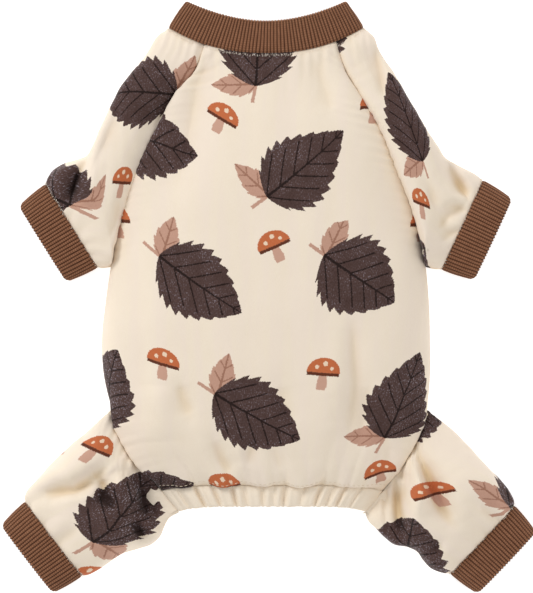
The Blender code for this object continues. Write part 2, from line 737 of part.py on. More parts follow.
def build_collar(rib):
    t = -np.cos(np.linspace(0, math.pi, 120))
    sides = []
    for upper in (True, False):
        near, far = neck_row(t, upper), mouth_row(t, upper)
        v = np.linspace(0, 1, COLLAR_ROWS)[:, None, None]
        sides.append(near + v * (far - near))
    grid = tube_rows(*sides, COLLAR_COLUMNS)
    finish(thicken("collar_band", grid, RIB_WALL, 0), rib)


def build_hem(fleece):
    sides = []
    for upper, columns in ((True, HEM_TOP_COLUMNS), (False, BELLY_COLUMNS)):
        t = -np.cos(np.linspace(0, math.pi, 200))
        near, far = hem_row(t, upper, False), hem_row(t, upper, True)
        rows = []
        for v in np.linspace(0, 1, HEM_ROWS):
            row = resample(near + v * (far - near), columns + 1, 0, 0 if upper else PANEL_CROWD)
            if upper:
                place = np.linspace(0, 1, columns + 1)
                wave = np.cos(2 * math.pi * HEM_PLEATS * place) - 1
                ends = np.sin(math.pi * place) ** 0.5
                row[:, 2] += PLEAT_DEPTH / 2 * wave * ends * math.sin(math.pi * (0.2 + 0.6 * v))
            rows.append(row)
        sides.append(rows)
    grid = np.array([np.vstack([high, low[::-1][1:]]) for high, low in zip(*sides)])
    pull_in(grid)
    finish(thicken("hem_band", grid[:, ::-1], FLEECE_WALL, 0), fleece)


def build_jumpsuit():
    clear_scene()
    fleece = cloth_material("fleece", CREAM, 0.9)
    rib = cloth_material("rib_knit", BROWN, 0.85)
    build_panels(fleece)
    build_limbs(fleece, rib)
    build_collar(rib)
    build_hem(fleece)


build_jumpsuit()
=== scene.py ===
# %% [markdown]
# A small dog's fleece jumpsuit with four legs lies on its belly on a pale floor, seen from straight
# above. The collar and the four cuffs are brown rib knit, and the hem is a gathered casing. Every piece
# of cloth here is first a grid of points, worked out from the suit's sizes, that runs from one seam to
# the next. The grid then gets its folds and a wall thickness, and a material that follows the cloth.

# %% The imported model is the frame
import json
import math

import bpy
import numpy as np
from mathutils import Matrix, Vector

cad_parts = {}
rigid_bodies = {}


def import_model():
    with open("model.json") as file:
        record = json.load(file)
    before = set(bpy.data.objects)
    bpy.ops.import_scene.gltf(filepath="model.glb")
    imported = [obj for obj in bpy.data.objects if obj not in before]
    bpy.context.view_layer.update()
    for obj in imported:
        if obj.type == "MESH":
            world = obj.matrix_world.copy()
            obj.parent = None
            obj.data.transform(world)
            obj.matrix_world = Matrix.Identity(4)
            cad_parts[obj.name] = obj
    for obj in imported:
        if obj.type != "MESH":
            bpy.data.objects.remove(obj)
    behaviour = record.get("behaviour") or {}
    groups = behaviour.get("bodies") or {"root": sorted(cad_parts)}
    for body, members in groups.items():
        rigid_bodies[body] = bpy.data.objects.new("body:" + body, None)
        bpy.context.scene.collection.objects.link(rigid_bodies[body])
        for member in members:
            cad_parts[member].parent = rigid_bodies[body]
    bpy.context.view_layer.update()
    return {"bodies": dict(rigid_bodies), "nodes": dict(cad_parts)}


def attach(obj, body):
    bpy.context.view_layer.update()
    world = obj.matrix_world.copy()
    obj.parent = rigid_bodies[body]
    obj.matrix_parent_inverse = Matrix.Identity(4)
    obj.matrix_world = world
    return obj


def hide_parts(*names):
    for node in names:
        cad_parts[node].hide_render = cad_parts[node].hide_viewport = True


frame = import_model()
BODY = next(iter(frame["bodies"]))
print("nodes:", ", ".join(sorted(frame["nodes"])))

# %% [markdown]
# The suit is described by the sizes that its maker would measure with it laid flat, in metres. The
# tables hold shares of these sizes, so that a table still fits when a size changes. Loft is how high the
# soft cloth stands above the floor.

# %% Sizes of the suit
FLEECE_WALL, RIB_WALL = 0.0020, 0.0024
BODY_LENGTH, BODY_WIDTH, BODY_LOFT = 0.289, 0.210, 0.042
NECK_FORWARD, BODY_ASIDE, EDGE_HEIGHT = 0.1558, 0.0017, 0.008
NECK_WIDTH, NECK_DROP, NECK_LOFT = 0.124, 0.0166, 0.021
COLLAR_HEIGHT, MOUTH_WIDTH, MOUTH_DROP, MOUTH_LOFT = 0.0205, 0.102, 0.0128, 0.017
HEM_HEIGHT, HEM_WIDTH, HEM_MOUTH_WIDTH = 0.0135, 0.141, 0.119
HEM_DROP, HEM_LOFT, HEM_PLEATS, BELLY_RISE = 0.0042, 0.019, 15, 0.030
SLEEVE_LENGTH, SLEEVE_LOFT, SLEEVE_CUFF_WIDTH, SLEEVE_CUFF_HEIGHT = 0.141, 0.030, 0.062, 0.0215
LEG_LENGTH, LEG_LOFT, LEG_CUFF_WIDTH, LEG_CUFF_HEIGHT = 0.091, 0.032, 0.059, 0.0212
CUFF_LOFT, CUFF_TAPER = 0.0175, 0.92
LENS_POWER, BODY_FLAT, LIMB_FLAT = 2.6, 0.80, 0.60
NECK_POWER, MOUTH_POWER, HEM_POWER = 2.3, 1.9, 6.0
CUT_START = (-0.63, 0.72)
UNDERARM, LEG_START = 0.470, 0.785
SEAM_GAP = 0.00016
print("body", BODY_LENGTH, "long and", BODY_WIDTH, "wide")

# %% [markdown]
# The two long edges of the back panel carry a sleeve seam, a side seam and a leg seam. One table gives
# both, row by row from the neck down, with the height of the seam and of the cloth beside it. Two
# smaller tables say at which angle each sleeve and leg lies. A share table is quick to compare with the
# real thing, one row at a time.

# %% Edges of the body and lie of the limbs
EDGE_COLUMNS = ("along", "left", "right", "seam", "loft", "under")
EDGE_ROWS = (
    (0.040, -0.433, 0.482, 0.42, 0.60, 0.00),
    (0.093, -0.543, 0.567, 0.43, 0.69, 0.00),
    (0.160, -0.640, 0.677, 0.43, 0.78, 0.00),
    (0.235, -0.744, 0.768, 0.40, 0.86, 0.00),
    (0.324, -0.835, 0.860, 0.34, 0.92, 0.05),
    (0.401, -0.902, 0.927, 0.26, 0.96, 0.40),
    (0.470, -0.945, 0.972, 0.19, 0.98, 1.00),
    (0.545, -0.976, 0.992, 0.19, 1.00, 1.00),
    (0.634, -1.000, 1.000, 0.19, 1.00, 1.00),
    (0.712, -0.988, 1.000, 0.19, 0.98, 1.00),
    (0.785, -0.939, 0.976, 0.19, 0.93, 1.00),
    (0.849, -0.872, 0.915, 0.30, 0.85, 0.40),
    (0.900, -0.793, 0.841, 0.36, 0.75, 0.10),
    (0.936, -0.707, 0.780, 0.34, 0.64, 0.30),
)
LIMB_COLUMNS = ("side", "drop", "cuff")
SLEEVES = {"left": (-1, 63.8, 32.0), "right": (1, 63.3, 25.0)}
LEGS = {"left": (-1, 66.0, 37.5), "right": (1, 66.9, 43.5)}

# %% Outlines of the sleeves and legs between their corners
SHOULDER_LINE = {
    "left": (
        (0.066, 0.019), (0.160, 0.010), (0.292, 0.012), (0.433, 0.000), (0.565, -0.028),
        (0.700, -0.062), (0.756, -0.068), (0.803, -0.042), (0.869, 0.002), (0.930, 0.020),
    ),
    "right": (
        (0.067, 0.018), (0.129, -0.002), (0.271, -0.021), (0.413, -0.040), (0.558, -0.056),
        (0.703, -0.071), (0.788, -0.079), (0.844, -0.057), (0.935, -0.017),
    ),
}
THIGH_LINE = {
    "left": (
        (0.136, 0.012), (0.264, 0.018), (0.425, 0.044), (0.558, 0.054), (0.697, 0.063),
        (0.820, 0.060), (0.943, 0.045),
    ),
    "right": (
        (0.136, 0.020), (0.281, 0.042), (0.410, 0.051), (0.535, 0.053), (0.659, 0.055),
        (0.789, 0.057), (0.898, 0.044), (0.953, 0.026),
    ),
}
INSEAM_LINE = {
    "left": (
        (0.100, -0.005), (0.179, 0.037), (0.243, 0.084), (0.346, 0.104), (0.472, 0.074),
        (0.600, 0.035), (0.737, 0.035), (0.842, 0.039), (0.934, 0.023),
    ),
    "right": (
        (0.073, 0.046), (0.174, 0.066), (0.286, 0.088), (0.408, 0.090), (0.529, 0.036),
        (0.621, 0.018), (0.718, 0.045), (0.838, 0.062), (0.930, 0.035),
    ),
}
print("sleeves and legs:", len(SHOULDER_LINE) + len(THIGH_LINE))

# %% [markdown]
# Soft cloth folds where it has more length than it needs. Each main fold is a line through three places
# on the suit, with a width and a depth: ridges are round, and valleys pinch to a sharper line. The
# folds that a maker would draw first are listed here, because they give the suit its character.
# The many small ones come later from functions.

# %% Main folds
FOLD_COLUMNS = ("x0", "y0", "x1", "y1", "x2", "y2", "width", "depth")
BACK_FOLDS = (
    (-0.37, 0.004, -0.62, 0.128, -0.84, 0.334, 0.23, 0.09),
    (-0.32, 0.009, -0.41, 0.084, -0.52, 0.275, 0.26, -0.11),
    (0.29, 0.009, 0.34, 0.066, 0.39, 0.128, 0.21, -0.06),
    (0.40, 0.013, 0.49, 0.084, 0.65, 0.190, 0.21, 0.05),
    (0.52, 0.602, 0.54, 0.722, 0.51, 0.833, 0.19, -0.07),
    (0.44, 0.611, 0.44, 0.722, 0.41, 0.810, 0.21, 0.03),
    (0.62, 0.733, 0.60, 0.788, 0.56, 0.866, 0.19, -0.05),
    (-0.52, 0.731, -0.50, 0.762, -0.46, 0.797, 0.14, -0.05),
    (-0.65, 0.733, -0.66, 0.788, -0.65, 0.855, 0.29, 0.06),
    (0.08, 0.735, 0.10, 0.771, 0.13, 0.819, 0.19, -0.03),
    (0.38, 0.748, 0.41, 0.784, 0.44, 0.819, 0.17, -0.02),
    (-0.06, 0.855, -0.10, 0.881, -0.12, 0.912, 0.14, -0.04),
    (0.04, 0.864, 0.06, 0.886, 0.09, 0.921, 0.14, -0.03),
)
SLEEVE_FOLDS = {
    "left": (
        (-1.08, 0.226, -1.13, 0.261, -1.19, 0.317, 0.12, -0.17),
        (-1.01, 0.204, -1.07, 0.270, -1.13, 0.330, 0.17, 0.07),
        (-1.13, 0.248, -1.24, 0.255, -1.30, 0.277, 0.19, 0.07),
        (-0.60, 0.111, -0.77, 0.235, -0.89, 0.401, 0.29, -0.10),
        (-0.84, 0.084, -0.95, 0.173, -1.02, 0.246, 0.21, -0.05),
        (-0.48, 0.049, -0.57, 0.095, -0.66, 0.151, 0.12, -0.07),
    ),
    "right": (
        (0.66, -0.018, 0.69, 0.035, 0.72, 0.102, 0.14, -0.08),
        (0.52, -0.018, 0.59, -0.022, 0.65, -0.040, 0.24, 0.05),
        (1.10, 0.237, 1.15, 0.270, 1.22, 0.319, 0.12, -0.14),
        (1.15, 0.246, 1.23, 0.279, 1.29, 0.306, 0.12, 0.06),
        (1.04, 0.387, 1.11, 0.359, 1.21, 0.332, 0.12, -0.06),
        (1.06, 0.416, 1.13, 0.396, 1.20, 0.381, 0.12, -0.05),
        (0.79, 0.146, 0.93, 0.246, 1.04, 0.334, 0.24, -0.06),
    ),
}
LEG_FOLDS = {
    "left": (
        (-1.34, 0.970, -1.15, 0.965, -0.94, 0.906, 0.17, -0.13),
        (-1.26, 0.926, -1.08, 0.912, -0.94, 0.872, 0.26, 0.06),
        (-1.02, 0.939, -0.93, 0.915, -0.85, 0.903, 0.14, 0.08),
        (-1.00, 0.939, -0.98, 0.977, -0.91, 1.001, 0.14, -0.13),
        (-0.93, 0.948, -0.88, 0.959, -0.85, 0.988, 0.17, 0.06),
        (-0.82, 0.888, -0.78, 0.921, -0.73, 0.957, 0.14, -0.10),
        (-0.84, 0.974, -0.79, 1.019, -0.76, 1.081, 0.14, -0.14),
        (-0.72, 0.970, -0.68, 1.005, -0.65, 1.054, 0.14, -0.12),
        (-0.94, 1.032, -0.91, 1.067, -0.89, 1.103, 0.29, 0.06),
    ),
    "right": (
        (0.88, 0.901, 0.93, 0.961, 0.90, 1.019, 0.14, 0.10),
        (0.95, 0.901, 1.01, 0.961, 1.11, 1.032, 0.15, -0.10),
        (1.08, 0.903, 1.17, 0.965, 1.26, 1.019, 0.29, 0.04),
        (0.96, 1.109, 1.01, 1.094, 1.06, 1.078, 0.12, -0.07),
        (0.83, 0.921, 0.81, 0.988, 0.83, 1.076, 0.14, -0.13),
        (0.73, 0.965, 0.72, 1.010, 0.74, 1.067, 0.14, -0.12),
        (0.63, 0.983, 0.62, 1.005, 0.61, 1.032, 0.12, -0.06),
    ),
}
print("main folds:", len(BACK_FOLDS) + sum(map(len, [*SLEEVE_FOLDS.values(), *LEG_FOLDS.values()])))

# %% [markdown]
# Where the legs are squeezed in beside the body, and where a sleeve bends, the cloth crumples into
# narrow, deep creases. They are listed apart from the main folds, because a plain solid can do without
# them, but the eye can't.

# %% Creases
BACK_CREASES = (
    (-0.32, 0.855, -0.27, 0.895, -0.21, 0.921, 0.13, -0.09),
    (-0.18, 0.866, -0.14, 0.903, -0.17, 0.943, 0.12, 0.05),
    (0.70, 0.830, 0.74, 0.870, 0.72, 0.915, 0.12, -0.06),
)
SLEEVE_CREASES = {
    "left": (
        (-0.93, 0.164, -1.04, 0.246, -1.12, 0.323, 0.17, -0.09),
        (-1.00, 0.175, -1.10, 0.246, -1.18, 0.290, 0.15, 0.06),
        (-0.88, 0.323, -0.91, 0.372, -0.95, 0.412, 0.12, -0.07),
    ),
    "right": (
        (0.98, 0.300, 1.03, 0.350, 1.09, 0.385, 0.13, -0.06),
    ),
}
LEG_CREASES = {
    "left": (
        (-1.01, 0.952, -0.91, 0.921, -0.82, 0.917, 0.20, -0.13),
        (-0.82, 0.930, -0.78, 0.957, -0.75, 0.981, 0.07, -0.09),
        (-0.73, 0.943, -0.70, 0.965, -0.67, 0.981, 0.07, -0.08),
        (-0.76, 0.960, -0.75, 0.994, -0.73, 1.021, 0.12, -0.20),
        (-0.83, 1.034, -0.76, 1.058, -0.70, 1.072, 0.09, -0.13),
        (-0.83, 0.992, -0.78, 1.039, -0.66, 1.041, 0.12, 0.08),
        (-0.63, 0.988, -0.61, 1.021, -0.62, 1.054, 0.09, -0.08),
        (-1.25, 0.985, -1.08, 0.975, -0.98, 0.950, 0.10, 0.07),
    ),
    "right": (
        (0.90, 0.855, 0.97, 0.939, 1.05, 1.000, 0.08, -0.07),
        (0.84, 0.890, 0.91, 0.925, 0.99, 0.985, 0.11, 0.10),
        (0.77, 0.917, 0.80, 0.992, 0.80, 1.060, 0.13, -0.17),
        (0.76, 0.905, 0.79, 0.925, 0.82, 0.940, 0.06, -0.07),
        (0.66, 0.975, 0.70, 1.010, 0.74, 1.050, 0.17, 0.06),
    ),
}
print("creases:", len(BACK_CREASES) + sum(map(len, [*SLEEVE_CREASES.values(), *LEG_CREASES.values()])))

# %% [markdown]
# Curves come before surfaces. A seam or an outline is a smooth curve through a few places, and it is
# read again at as many even steps as the grid needs. Blender's own curves could do this, but a few
# lines of arithmetic keep every point on one named rule that all the pieces can share.

# %% Curves
def hermite(along, values, at):
    """Cubic through the values at the places in along, with the slopes of their neighbours."""
    at = np.clip(np.asarray(at, float), along[0], along[-1])
    slope = np.gradient(values, along, axis=0)
    i = np.clip(np.searchsorted(along, at, side="right") - 1, 0, len(along) - 2)
    width = along[i + 1] - along[i]
    t = (at - along[i]) / width
    shape = (-1,) + (1,) * (values.ndim - 1)
    t, width = t.reshape(shape), width.reshape(shape)
    return (
        (2 * t**3 - 3 * t**2 + 1) * values[i]
        + (t**3 - 2 * t**2 + t) * width * slope[i]
        + (3 * t**2 - 2 * t**3) * values[i + 1]
        + (t**3 - t**2) * width * slope[i + 1]
    )


def through(points, at):
    """Smooth curve through the points, read at shares from 0 to 1 of its length."""
    points = np.asarray(points, float)
    steps = np.linalg.norm(np.diff(points, axis=0), axis=1)
    along = np.concatenate([[0.0], np.cumsum(steps)]) / steps.sum()
    return hermite(along, points, at)


def outline(start, end, bends, side, at):
    """Points of a curve from start to end. Each bend is (along, out), both shares of the way."""
    start, end = np.asarray(start, float), np.asarray(end, float)
    way = end - start
    out = np.array([way[1], -way[0]]) * side
    return through([start] + [start + way * a - out * b for a, b in bends] + [end], at)


def resample(row, count, trim=0.0, crowd=0.0):
    """The row cut back at both ends and read at count points, crowded towards the ends by crowd."""
    steps = np.linalg.norm(np.diff(row, axis=0), axis=1)
    along = np.concatenate([[0.0], np.cumsum(steps)])
    share = np.linspace(0, 1, count)
    share = (1 - crowd) * share + crowd * (1 - np.cos(math.pi * share)) / 2
    at = trim + share * (along[-1] - 2 * trim)
    return np.stack([np.interp(at, along, row[:, k]) for k in range(3)], axis=1)


# %% [markdown]
# A suit laid flat is nearly a lens in section: the upper cloth rises steeply from each side fold to a
# flat top, and the lower cloth lies on the floor and turns up only near the folds. One power makes the
# top flatter or rounder. A real drape differs from place to place, so the folds are added on top.

# %% Heights of cloth that lies on a floor
def lens(t):
    """Height of the upper cloth between two folds, 0 at t = -1 and 1, and 1 in the middle."""
    return np.sqrt(np.clip(1 - np.abs(t) ** LENS_POWER, 0, 1))


def cut_of(height):
    """The place in a lens, from 0 at its fold to 1 in its middle, where it has that height."""
    return 1 - (1 - np.clip(height, 0, 1) ** 2) ** (1 / LENS_POWER)


def belly(t, flat):
    """Height of the lower cloth, 0 where it lies flat and 1 at t = -1 and 1."""
    e = np.clip((np.abs(t) - flat) / (1 - flat), 0, 1)
    return 1 - np.sqrt(1 - e**2)


def body_place(across, along):
    """The point at a share of half of BODY_WIDTH across and of BODY_LENGTH down from the neck."""
    return np.array([-BODY_ASIDE + across * BODY_WIDTH / 2, NECK_FORWARD - along * BODY_LENGTH])


FOLD_END_SHARE, VALLEY_POWER, RIDGE_POWER = 0.45, 1.35, 2.0


def folds_at(points, folds):
    """Sum of the folds' heights. Each is strongest in its middle, and a valley is sharper than a ridge."""
    total = np.zeros(points.shape[:-1])
    for row in folds:
        fold = dict(zip(FOLD_COLUMNS, row))
        path = [body_place(fold[f"x{i}"], fold[f"y{i}"]) for i in range(3)]
        nearest, place = np.full(total.shape, np.inf), np.zeros(total.shape)
        for k, (start, end) in enumerate(zip(path, path[1:])):
            way, off = end - start, points[..., :2] - start
            t = np.clip((off @ way) / (way @ way), 0, 1)
            distance = np.linalg.norm(off - t[..., None] * way, axis=-1)
            place = np.where(distance < nearest, (k + t) / 2, place)
            nearest = np.minimum(nearest, distance)
        fade = FOLD_END_SHARE + (1 - FOLD_END_SHARE) * (1 - np.abs(2 * place - 1) ** 3)
        power = VALLEY_POWER if fold["depth"] < 0 else RIDGE_POWER
        shape = np.exp(-((nearest / (fold["width"] * BODY_LOFT)) ** power))
        total += fold["depth"] * BODY_LOFT * fade * shape
    return total


print("height halfway to the fold:", round(float(lens(0.5)), 3))

# %% [markdown]
# Two pieces that are sewn together share one closed row of points, here called a ring. The neck, the
# mouth of the collar, the hem and each cuff all use the same flat ring with other sizes, so that a band
# always meets its cloth.

# %% Rings where two pieces meet
def flat_ring(t, upper, x, y, loft, flat=LIMB_FLAT):
    """One side of a ring that lies flat, from its left fold at t = -1 to its right at t = 1."""
    z = EDGE_HEIGHT + (loft - EDGE_HEIGHT) * lens(t) if upper else EDGE_HEIGHT * belly(t, flat)
    return np.stack([x + 0 * t, y + 0 * t, z], axis=-1)


def neck_row(t, upper):
    y = NECK_FORWARD + NECK_DROP * np.abs(t) ** NECK_POWER
    return flat_ring(t, upper, -BODY_ASIDE + t * NECK_WIDTH / 2, y, NECK_LOFT, BODY_FLAT)


def mouth_row(t, upper):
    y = NECK_FORWARD + COLLAR_HEIGHT + MOUTH_DROP * np.abs(t) ** MOUTH_POWER
    return flat_ring(t, upper, -BODY_ASIDE + t * MOUTH_WIDTH / 2, y, MOUTH_LOFT, BODY_FLAT)


def hem_row(t, upper, free):
    """The hem's seam with the panels or, if free, its loose edge."""
    half = (HEM_MOUTH_WIDTH if free else HEM_WIDTH) / 2
    middle = -BODY_ASIDE + (EDGE_ROWS[-1][1] + EDGE_ROWS[-1][2]) / 4 * BODY_WIDTH
    edge = NECK_FORWARD - BODY_LENGTH + (0 if free else HEM_HEIGHT)
    y = edge - HEM_DROP * np.abs(t) ** HEM_POWER
    if not upper:
        y = y + BELLY_RISE * (1 - t**2) ** 1.5
    return flat_ring(t, upper, middle + t * half, y, HEM_LOFT, BODY_FLAT)


class Limb:
    """A sleeve or leg: its root, the two ends of its cuff seam, and its cuff's free edge."""

    def __init__(self, root, length, lie, width, cuff_height):
        facts = dict(zip(LIMB_COLUMNS, lie))
        self.side = facts["side"]
        drop, cuff = math.radians(facts["drop"]), math.radians(facts["cuff"])
        self.root = np.asarray(root, float)
        middle = self.root + length * np.array([self.side * math.cos(drop), -math.sin(drop)])
        self.axis = np.array([self.side * math.cos(cuff), -math.sin(cuff)])
        across = np.array([self.side * math.sin(cuff), math.cos(cuff)]) * width / 2
        self.upper, self.lower = middle + across, middle - across
        end = middle + self.axis * cuff_height
        self.end_upper, self.end_lower = end + across * CUFF_TAPER, end - across * CUFF_TAPER

    def cuff_row(self, t, upper, free):
        """A row of the cuff from its lower fold at t = -1 to its upper fold at t = 1."""
        low, high = (self.end_lower, self.end_upper) if free else (self.lower, self.upper)
        place = (low + high) / 2 + t[..., None] * (high - low) / 2
        return flat_ring(t, upper, place[..., 0], place[..., 1], CUFF_LOFT)


def edge_table(name):
    """The places along the body, and the points of one edge of the back panel at them."""
    side = SLEEVES[name][0]
    column = {key: np.array(EDGE_ROWS)[:, i] for i, key in enumerate(EDGE_COLUMNS)}
    plan = np.array([body_place(x, a) for x, a in zip(column[name], column["along"])])
    top = np.column_stack([plan, column["seam"] * BODY_LOFT])
    low = np.column_stack([plan, column["under"] * EDGE_HEIGHT])
    start = CUT_START[0 if side < 0 else 1]
    starts = [neck_row(np.array([start]), up)[0] for up in (True, False)]
    ends = [hem_row(np.array([float(side)]), up, False)[0] for up in (True, False)]
    along = np.concatenate([[0.0], column["along"], [(NECK_FORWARD - ends[0][1]) / BODY_LENGTH]])
    return along, np.vstack([starts[0], top, ends[0]]), np.vstack([starts[1], low, ends[1]])


def panel_edge(name, along, upper=True):
    places, top, low = edge_table(name)
    row = hermite(places, top if upper else low, along)
    row[:, 2] = np.maximum(row[:, 2], EDGE_HEIGHT) if upper else np.clip(row[:, 2], 0, EDGE_HEIGHT)
    return row


def sleeve_limb(name):
    root = neck_row(np.array([float(SLEEVES[name][0])]), True)[0][:2]
    return Limb(root, SLEEVE_LENGTH, SLEEVES[name], SLEEVE_CUFF_WIDTH, SLEEVE_CUFF_HEIGHT)


def leg_limb(name):
    root = panel_edge(name, np.array([LEG_START]))[0][:2]
    return Limb(root, LEG_LENGTH, LEGS[name], LEG_CUFF_WIDTH, LEG_CUFF_HEIGHT)


print("left sleeve ends at", sleeve_limb("left").lower.round(3))

# %% [markdown]
# The back and belly panels fill the space between the two long edges, the neck and the hem. Each row of
# the grid keeps the shape of the neck near the front and of the hem near the back, and moves gradually
# from one to the other.

# %% Panels between their seams
BACK_FOLD_GAIN = 1.8


def panel_steps(steps):
    """Places of a panel's rows along the body, with one at each end of its three seams."""
    stops = (0.0, UNDERARM, LEG_START, edge_table("left")[0][-1])
    spans = [np.linspace(a, b, n + 1)[:-1] for a, b, n in zip(stops, stops[1:], steps)]
    return np.concatenate([*spans, stops[-1:]])


def match_row(grid, row, at_start, power, v=None):
    """Shifts the rows near one end so that the end row is the given one. The shift fades away."""
    v = np.linspace(0, 1, len(grid)) if v is None else v
    fade = (1 - v if at_start else v) ** power
    grid += fade[:, None, None] * (row - grid[0 if at_start else -1])[None]


def panel_grid(upper, steps, dense=320):
    """Upper or lower cloth of the body between its sleeve, side and leg seams."""
    along = panel_steps(steps)
    left, right = panel_edge("left", along, upper), panel_edge("right", along, upper)
    t = np.sin(np.linspace(-1, 1, dense) * math.pi / 2)
    share = (t + 1) / 2
    low, high = CUT_START
    first = neck_row(low + (high - low) * share, upper)
    last = hem_row(t, upper, False)
    v = (along / along[-1])[:, None, None]
    row = (1 - v) * first[None, :, :2] + v * last[None, :, :2]
    chord = row[:, :1] + share[None, :, None] * (row[:, -1:] - row[:, :1])
    place = left[:, None, :2] + share[None, :, None] * (right - left)[:, None, :2]
    grid = np.zeros((len(along), dense, 3))
    grid[..., :2] = place + row - chord
    if upper:
        lofts = [NECK_LOFT] + [r[EDGE_COLUMNS.index("loft")] * BODY_LOFT for r in EDGE_ROWS]
        rise = hermite(edge_table("left")[0], np.array(lofts + [HEM_LOFT]), along)[:, None] - EDGE_HEIGHT
        start, stop = (cut_of((edge[:, 2:] - EDGE_HEIGHT) / rise) for edge in (left, right))
        grid[..., 2] = EDGE_HEIGHT + rise * lens(start - 1 + share * (2 - start - stop))
        folds = BACK_FOLD_GAIN * folds_at(grid, BACK_FOLDS) + folds_at(grid, BACK_CREASES)
        grid[..., 2] += folds * lens(t)
    else:
        grid[..., 2] = (left[:, 2:] * (1 - share) + right[:, 2:] * share) * belly(t, BODY_FLAT)
    match_row(grid, first, True, 8, along / along[-1])
    match_row(grid, last, False, 8, along / along[-1])
    return grid


# %% [markdown]
# A sleeve or leg is a tube. Its upper and lower cloth run between two outlines, from the body's seam to
# the cuff, and a patch between four edges (a Coons patch) gives their plan. A sleeve starts open, along
# the slanting seam from neck to underarm, and is a closed tube only below it.

# %% Sleeves and legs between their seams
SLEEVE_FOLD_GAIN, LEG_FOLD_GAIN, LEG_CREASE_GAIN = 1.7, 1.9, 1.3
SLEEVE_FULLEST, SLEEVE_LATE, LEG_ROOT, LEG_FULLEST, LEG_LATE = 0.35, 0.92, 0.86, 0.30, 0.90


def coons(first, last, left, right):
    """Plan of a four-sided piece from its four edges: first and last are rows, left and right columns."""
    u = np.linspace(0, 1, len(first))[None, :, None]
    v = np.linspace(0, 1, len(left))[:, None, None]
    ruled = (1 - v) * first[None] + v * last[None] + (1 - u) * left[:, None] + u * right[:, None]
    corners = (1 - v) * ((1 - u) * first[0] + u * first[-1]) + v * ((1 - u) * last[0] + u * last[-1])
    return ruled - corners


def limb_half(edge_a, edge_b, first, last, heights, upper, lifts):
    """One side, upper or lower, of a sleeve or leg. Rows run from edge_a to edge_b, root to cuff.

    Each of lifts is (gain, folds), and only the upper side gets them.
    """
    grid = np.zeros((len(edge_a), len(first), 3))
    grid[..., :2] = coons(first[:, :2], last[:, :2], edge_a[:, :2], edge_b[:, :2])
    share = np.linspace(0, 1, len(first))[None, :]
    a, b = edge_a[:, 2:3], edge_b[:, 2:3]
    if upper:
        top = heights[:, None]
        start = cut_of((a - b) / (top - b)) / 2
        grid[..., 2] = b + (top - b) * lens(2 * (start + (1 - start) * share) - 1)
        folds = sum(gain * folds_at(grid, rows) for gain, rows in lifts)
        grid[..., 2] = np.maximum(grid[..., 2] + folds * lens(2 * share - 1), EDGE_HEIGHT)
    else:
        start = np.where(a < EDGE_HEIGHT, 0.5 * (1 - a / EDGE_HEIGHT), 0)
        grid[..., 2] = EDGE_HEIGHT * belly(2 * (start + (1 - start) * share) - 1, LIMB_FLAT)
    match_row(grid, first, True, 4)
    match_row(grid, last, False, 6)
    return grid


def limb_heights(start, loft, fullest, late, steps):
    """Height of a limb along its way: full at the share fullest, and a little less before the cuff."""
    places, heights = (0.0, fullest, 0.75, 1.0), (start, loft, loft * late, CUFF_LOFT)
    return hermite(np.array(places), np.array(heights), steps)


def sleeve_grid(name, seam_steps, under_steps, dense=160):
    """Both sides of a sleeve from the neck seam to its cuff, and the row where it closes."""
    limb = sleeve_limb(name)
    along = np.linspace(0, UNDERARM, seam_steps + 1)
    rows = len(along) + under_steps
    steps = np.linspace(0, 1, rows)
    shoulder = outline(limb.root, limb.upper, SHOULDER_LINE[name], limb.side, steps)
    edge_b = np.column_stack([shoulder, np.full(rows, EDGE_HEIGHT)])
    middle = np.column_stack([[limb.lower], [EDGE_HEIGHT]])
    cut = CUT_START[0 if limb.side < 0 else 1]
    turn = -np.cos(np.linspace(0, math.pi, dense))
    heights = limb_heights(NECK_LOFT, SLEEVE_LOFT, SLEEVE_FULLEST, SLEEVE_LATE, steps)
    halves = []
    for upper in (True, False):
        seam = panel_edge(name, along, upper)
        seam[-1, 2] = EDGE_HEIGHT
        under = seam[-1] + np.linspace(0, 1, under_steps + 1)[1:, None] * (middle - seam[-1])
        first = neck_row(cut + (limb.side - cut) * (1 + turn) / 2, upper)
        last = limb.cuff_row(turn, upper, False)
        edge_a = np.vstack([seam, under])
        lifts = [(SLEEVE_FOLD_GAIN, SLEEVE_FOLDS[name]), (1.0, SLEEVE_CREASES[name])]
        halves.append(limb_half(edge_a, edge_b, first, last, heights, upper, lifts))
    return halves, len(along) - 1


def leg_grid(name, rows, dense=160):
    """Both sides of a leg from the body to its cuff, closed all the way."""
    limb = leg_limb(name)
    steps = np.linspace(0, 1, rows)
    corner = hem_row(np.array([float(limb.side)]), True, True)[0]
    thigh = outline(limb.root, limb.upper, THIGH_LINE[name], limb.side, steps)
    inseam = outline(corner[:2], limb.lower, INSEAM_LINE[name], -limb.side, steps)
    edge_a, edge_b = (np.column_stack([x, np.full(rows, EDGE_HEIGHT)]) for x in (inseam, thigh))
    heights = limb_heights(LEG_LOFT * LEG_ROOT, LEG_LOFT, LEG_FULLEST, LEG_LATE, steps)
    halves = []
    for upper in (True, False):
        seam = panel_edge(name, np.linspace(LEG_START, edge_table(name)[0][-1], dense), upper)
        hem = hem_row(np.array([float(limb.side)]), upper, False)[0]
        side = hem + np.linspace(0, 1, 12)[1:, None] * (corner - hem)
        first = resample(np.vstack([seam, side])[::-1], dense)
        last = limb.cuff_row(-np.cos(np.linspace(0, math.pi, dense)), upper, False)
        lifts = [(LEG_FOLD_GAIN, LEG_FOLDS[name]), (LEG_CREASE_GAIN, LEG_CREASES[name])]
        halves.append(limb_half(edge_a, edge_b, first, last, heights, upper, lifts))
    return halves, 0


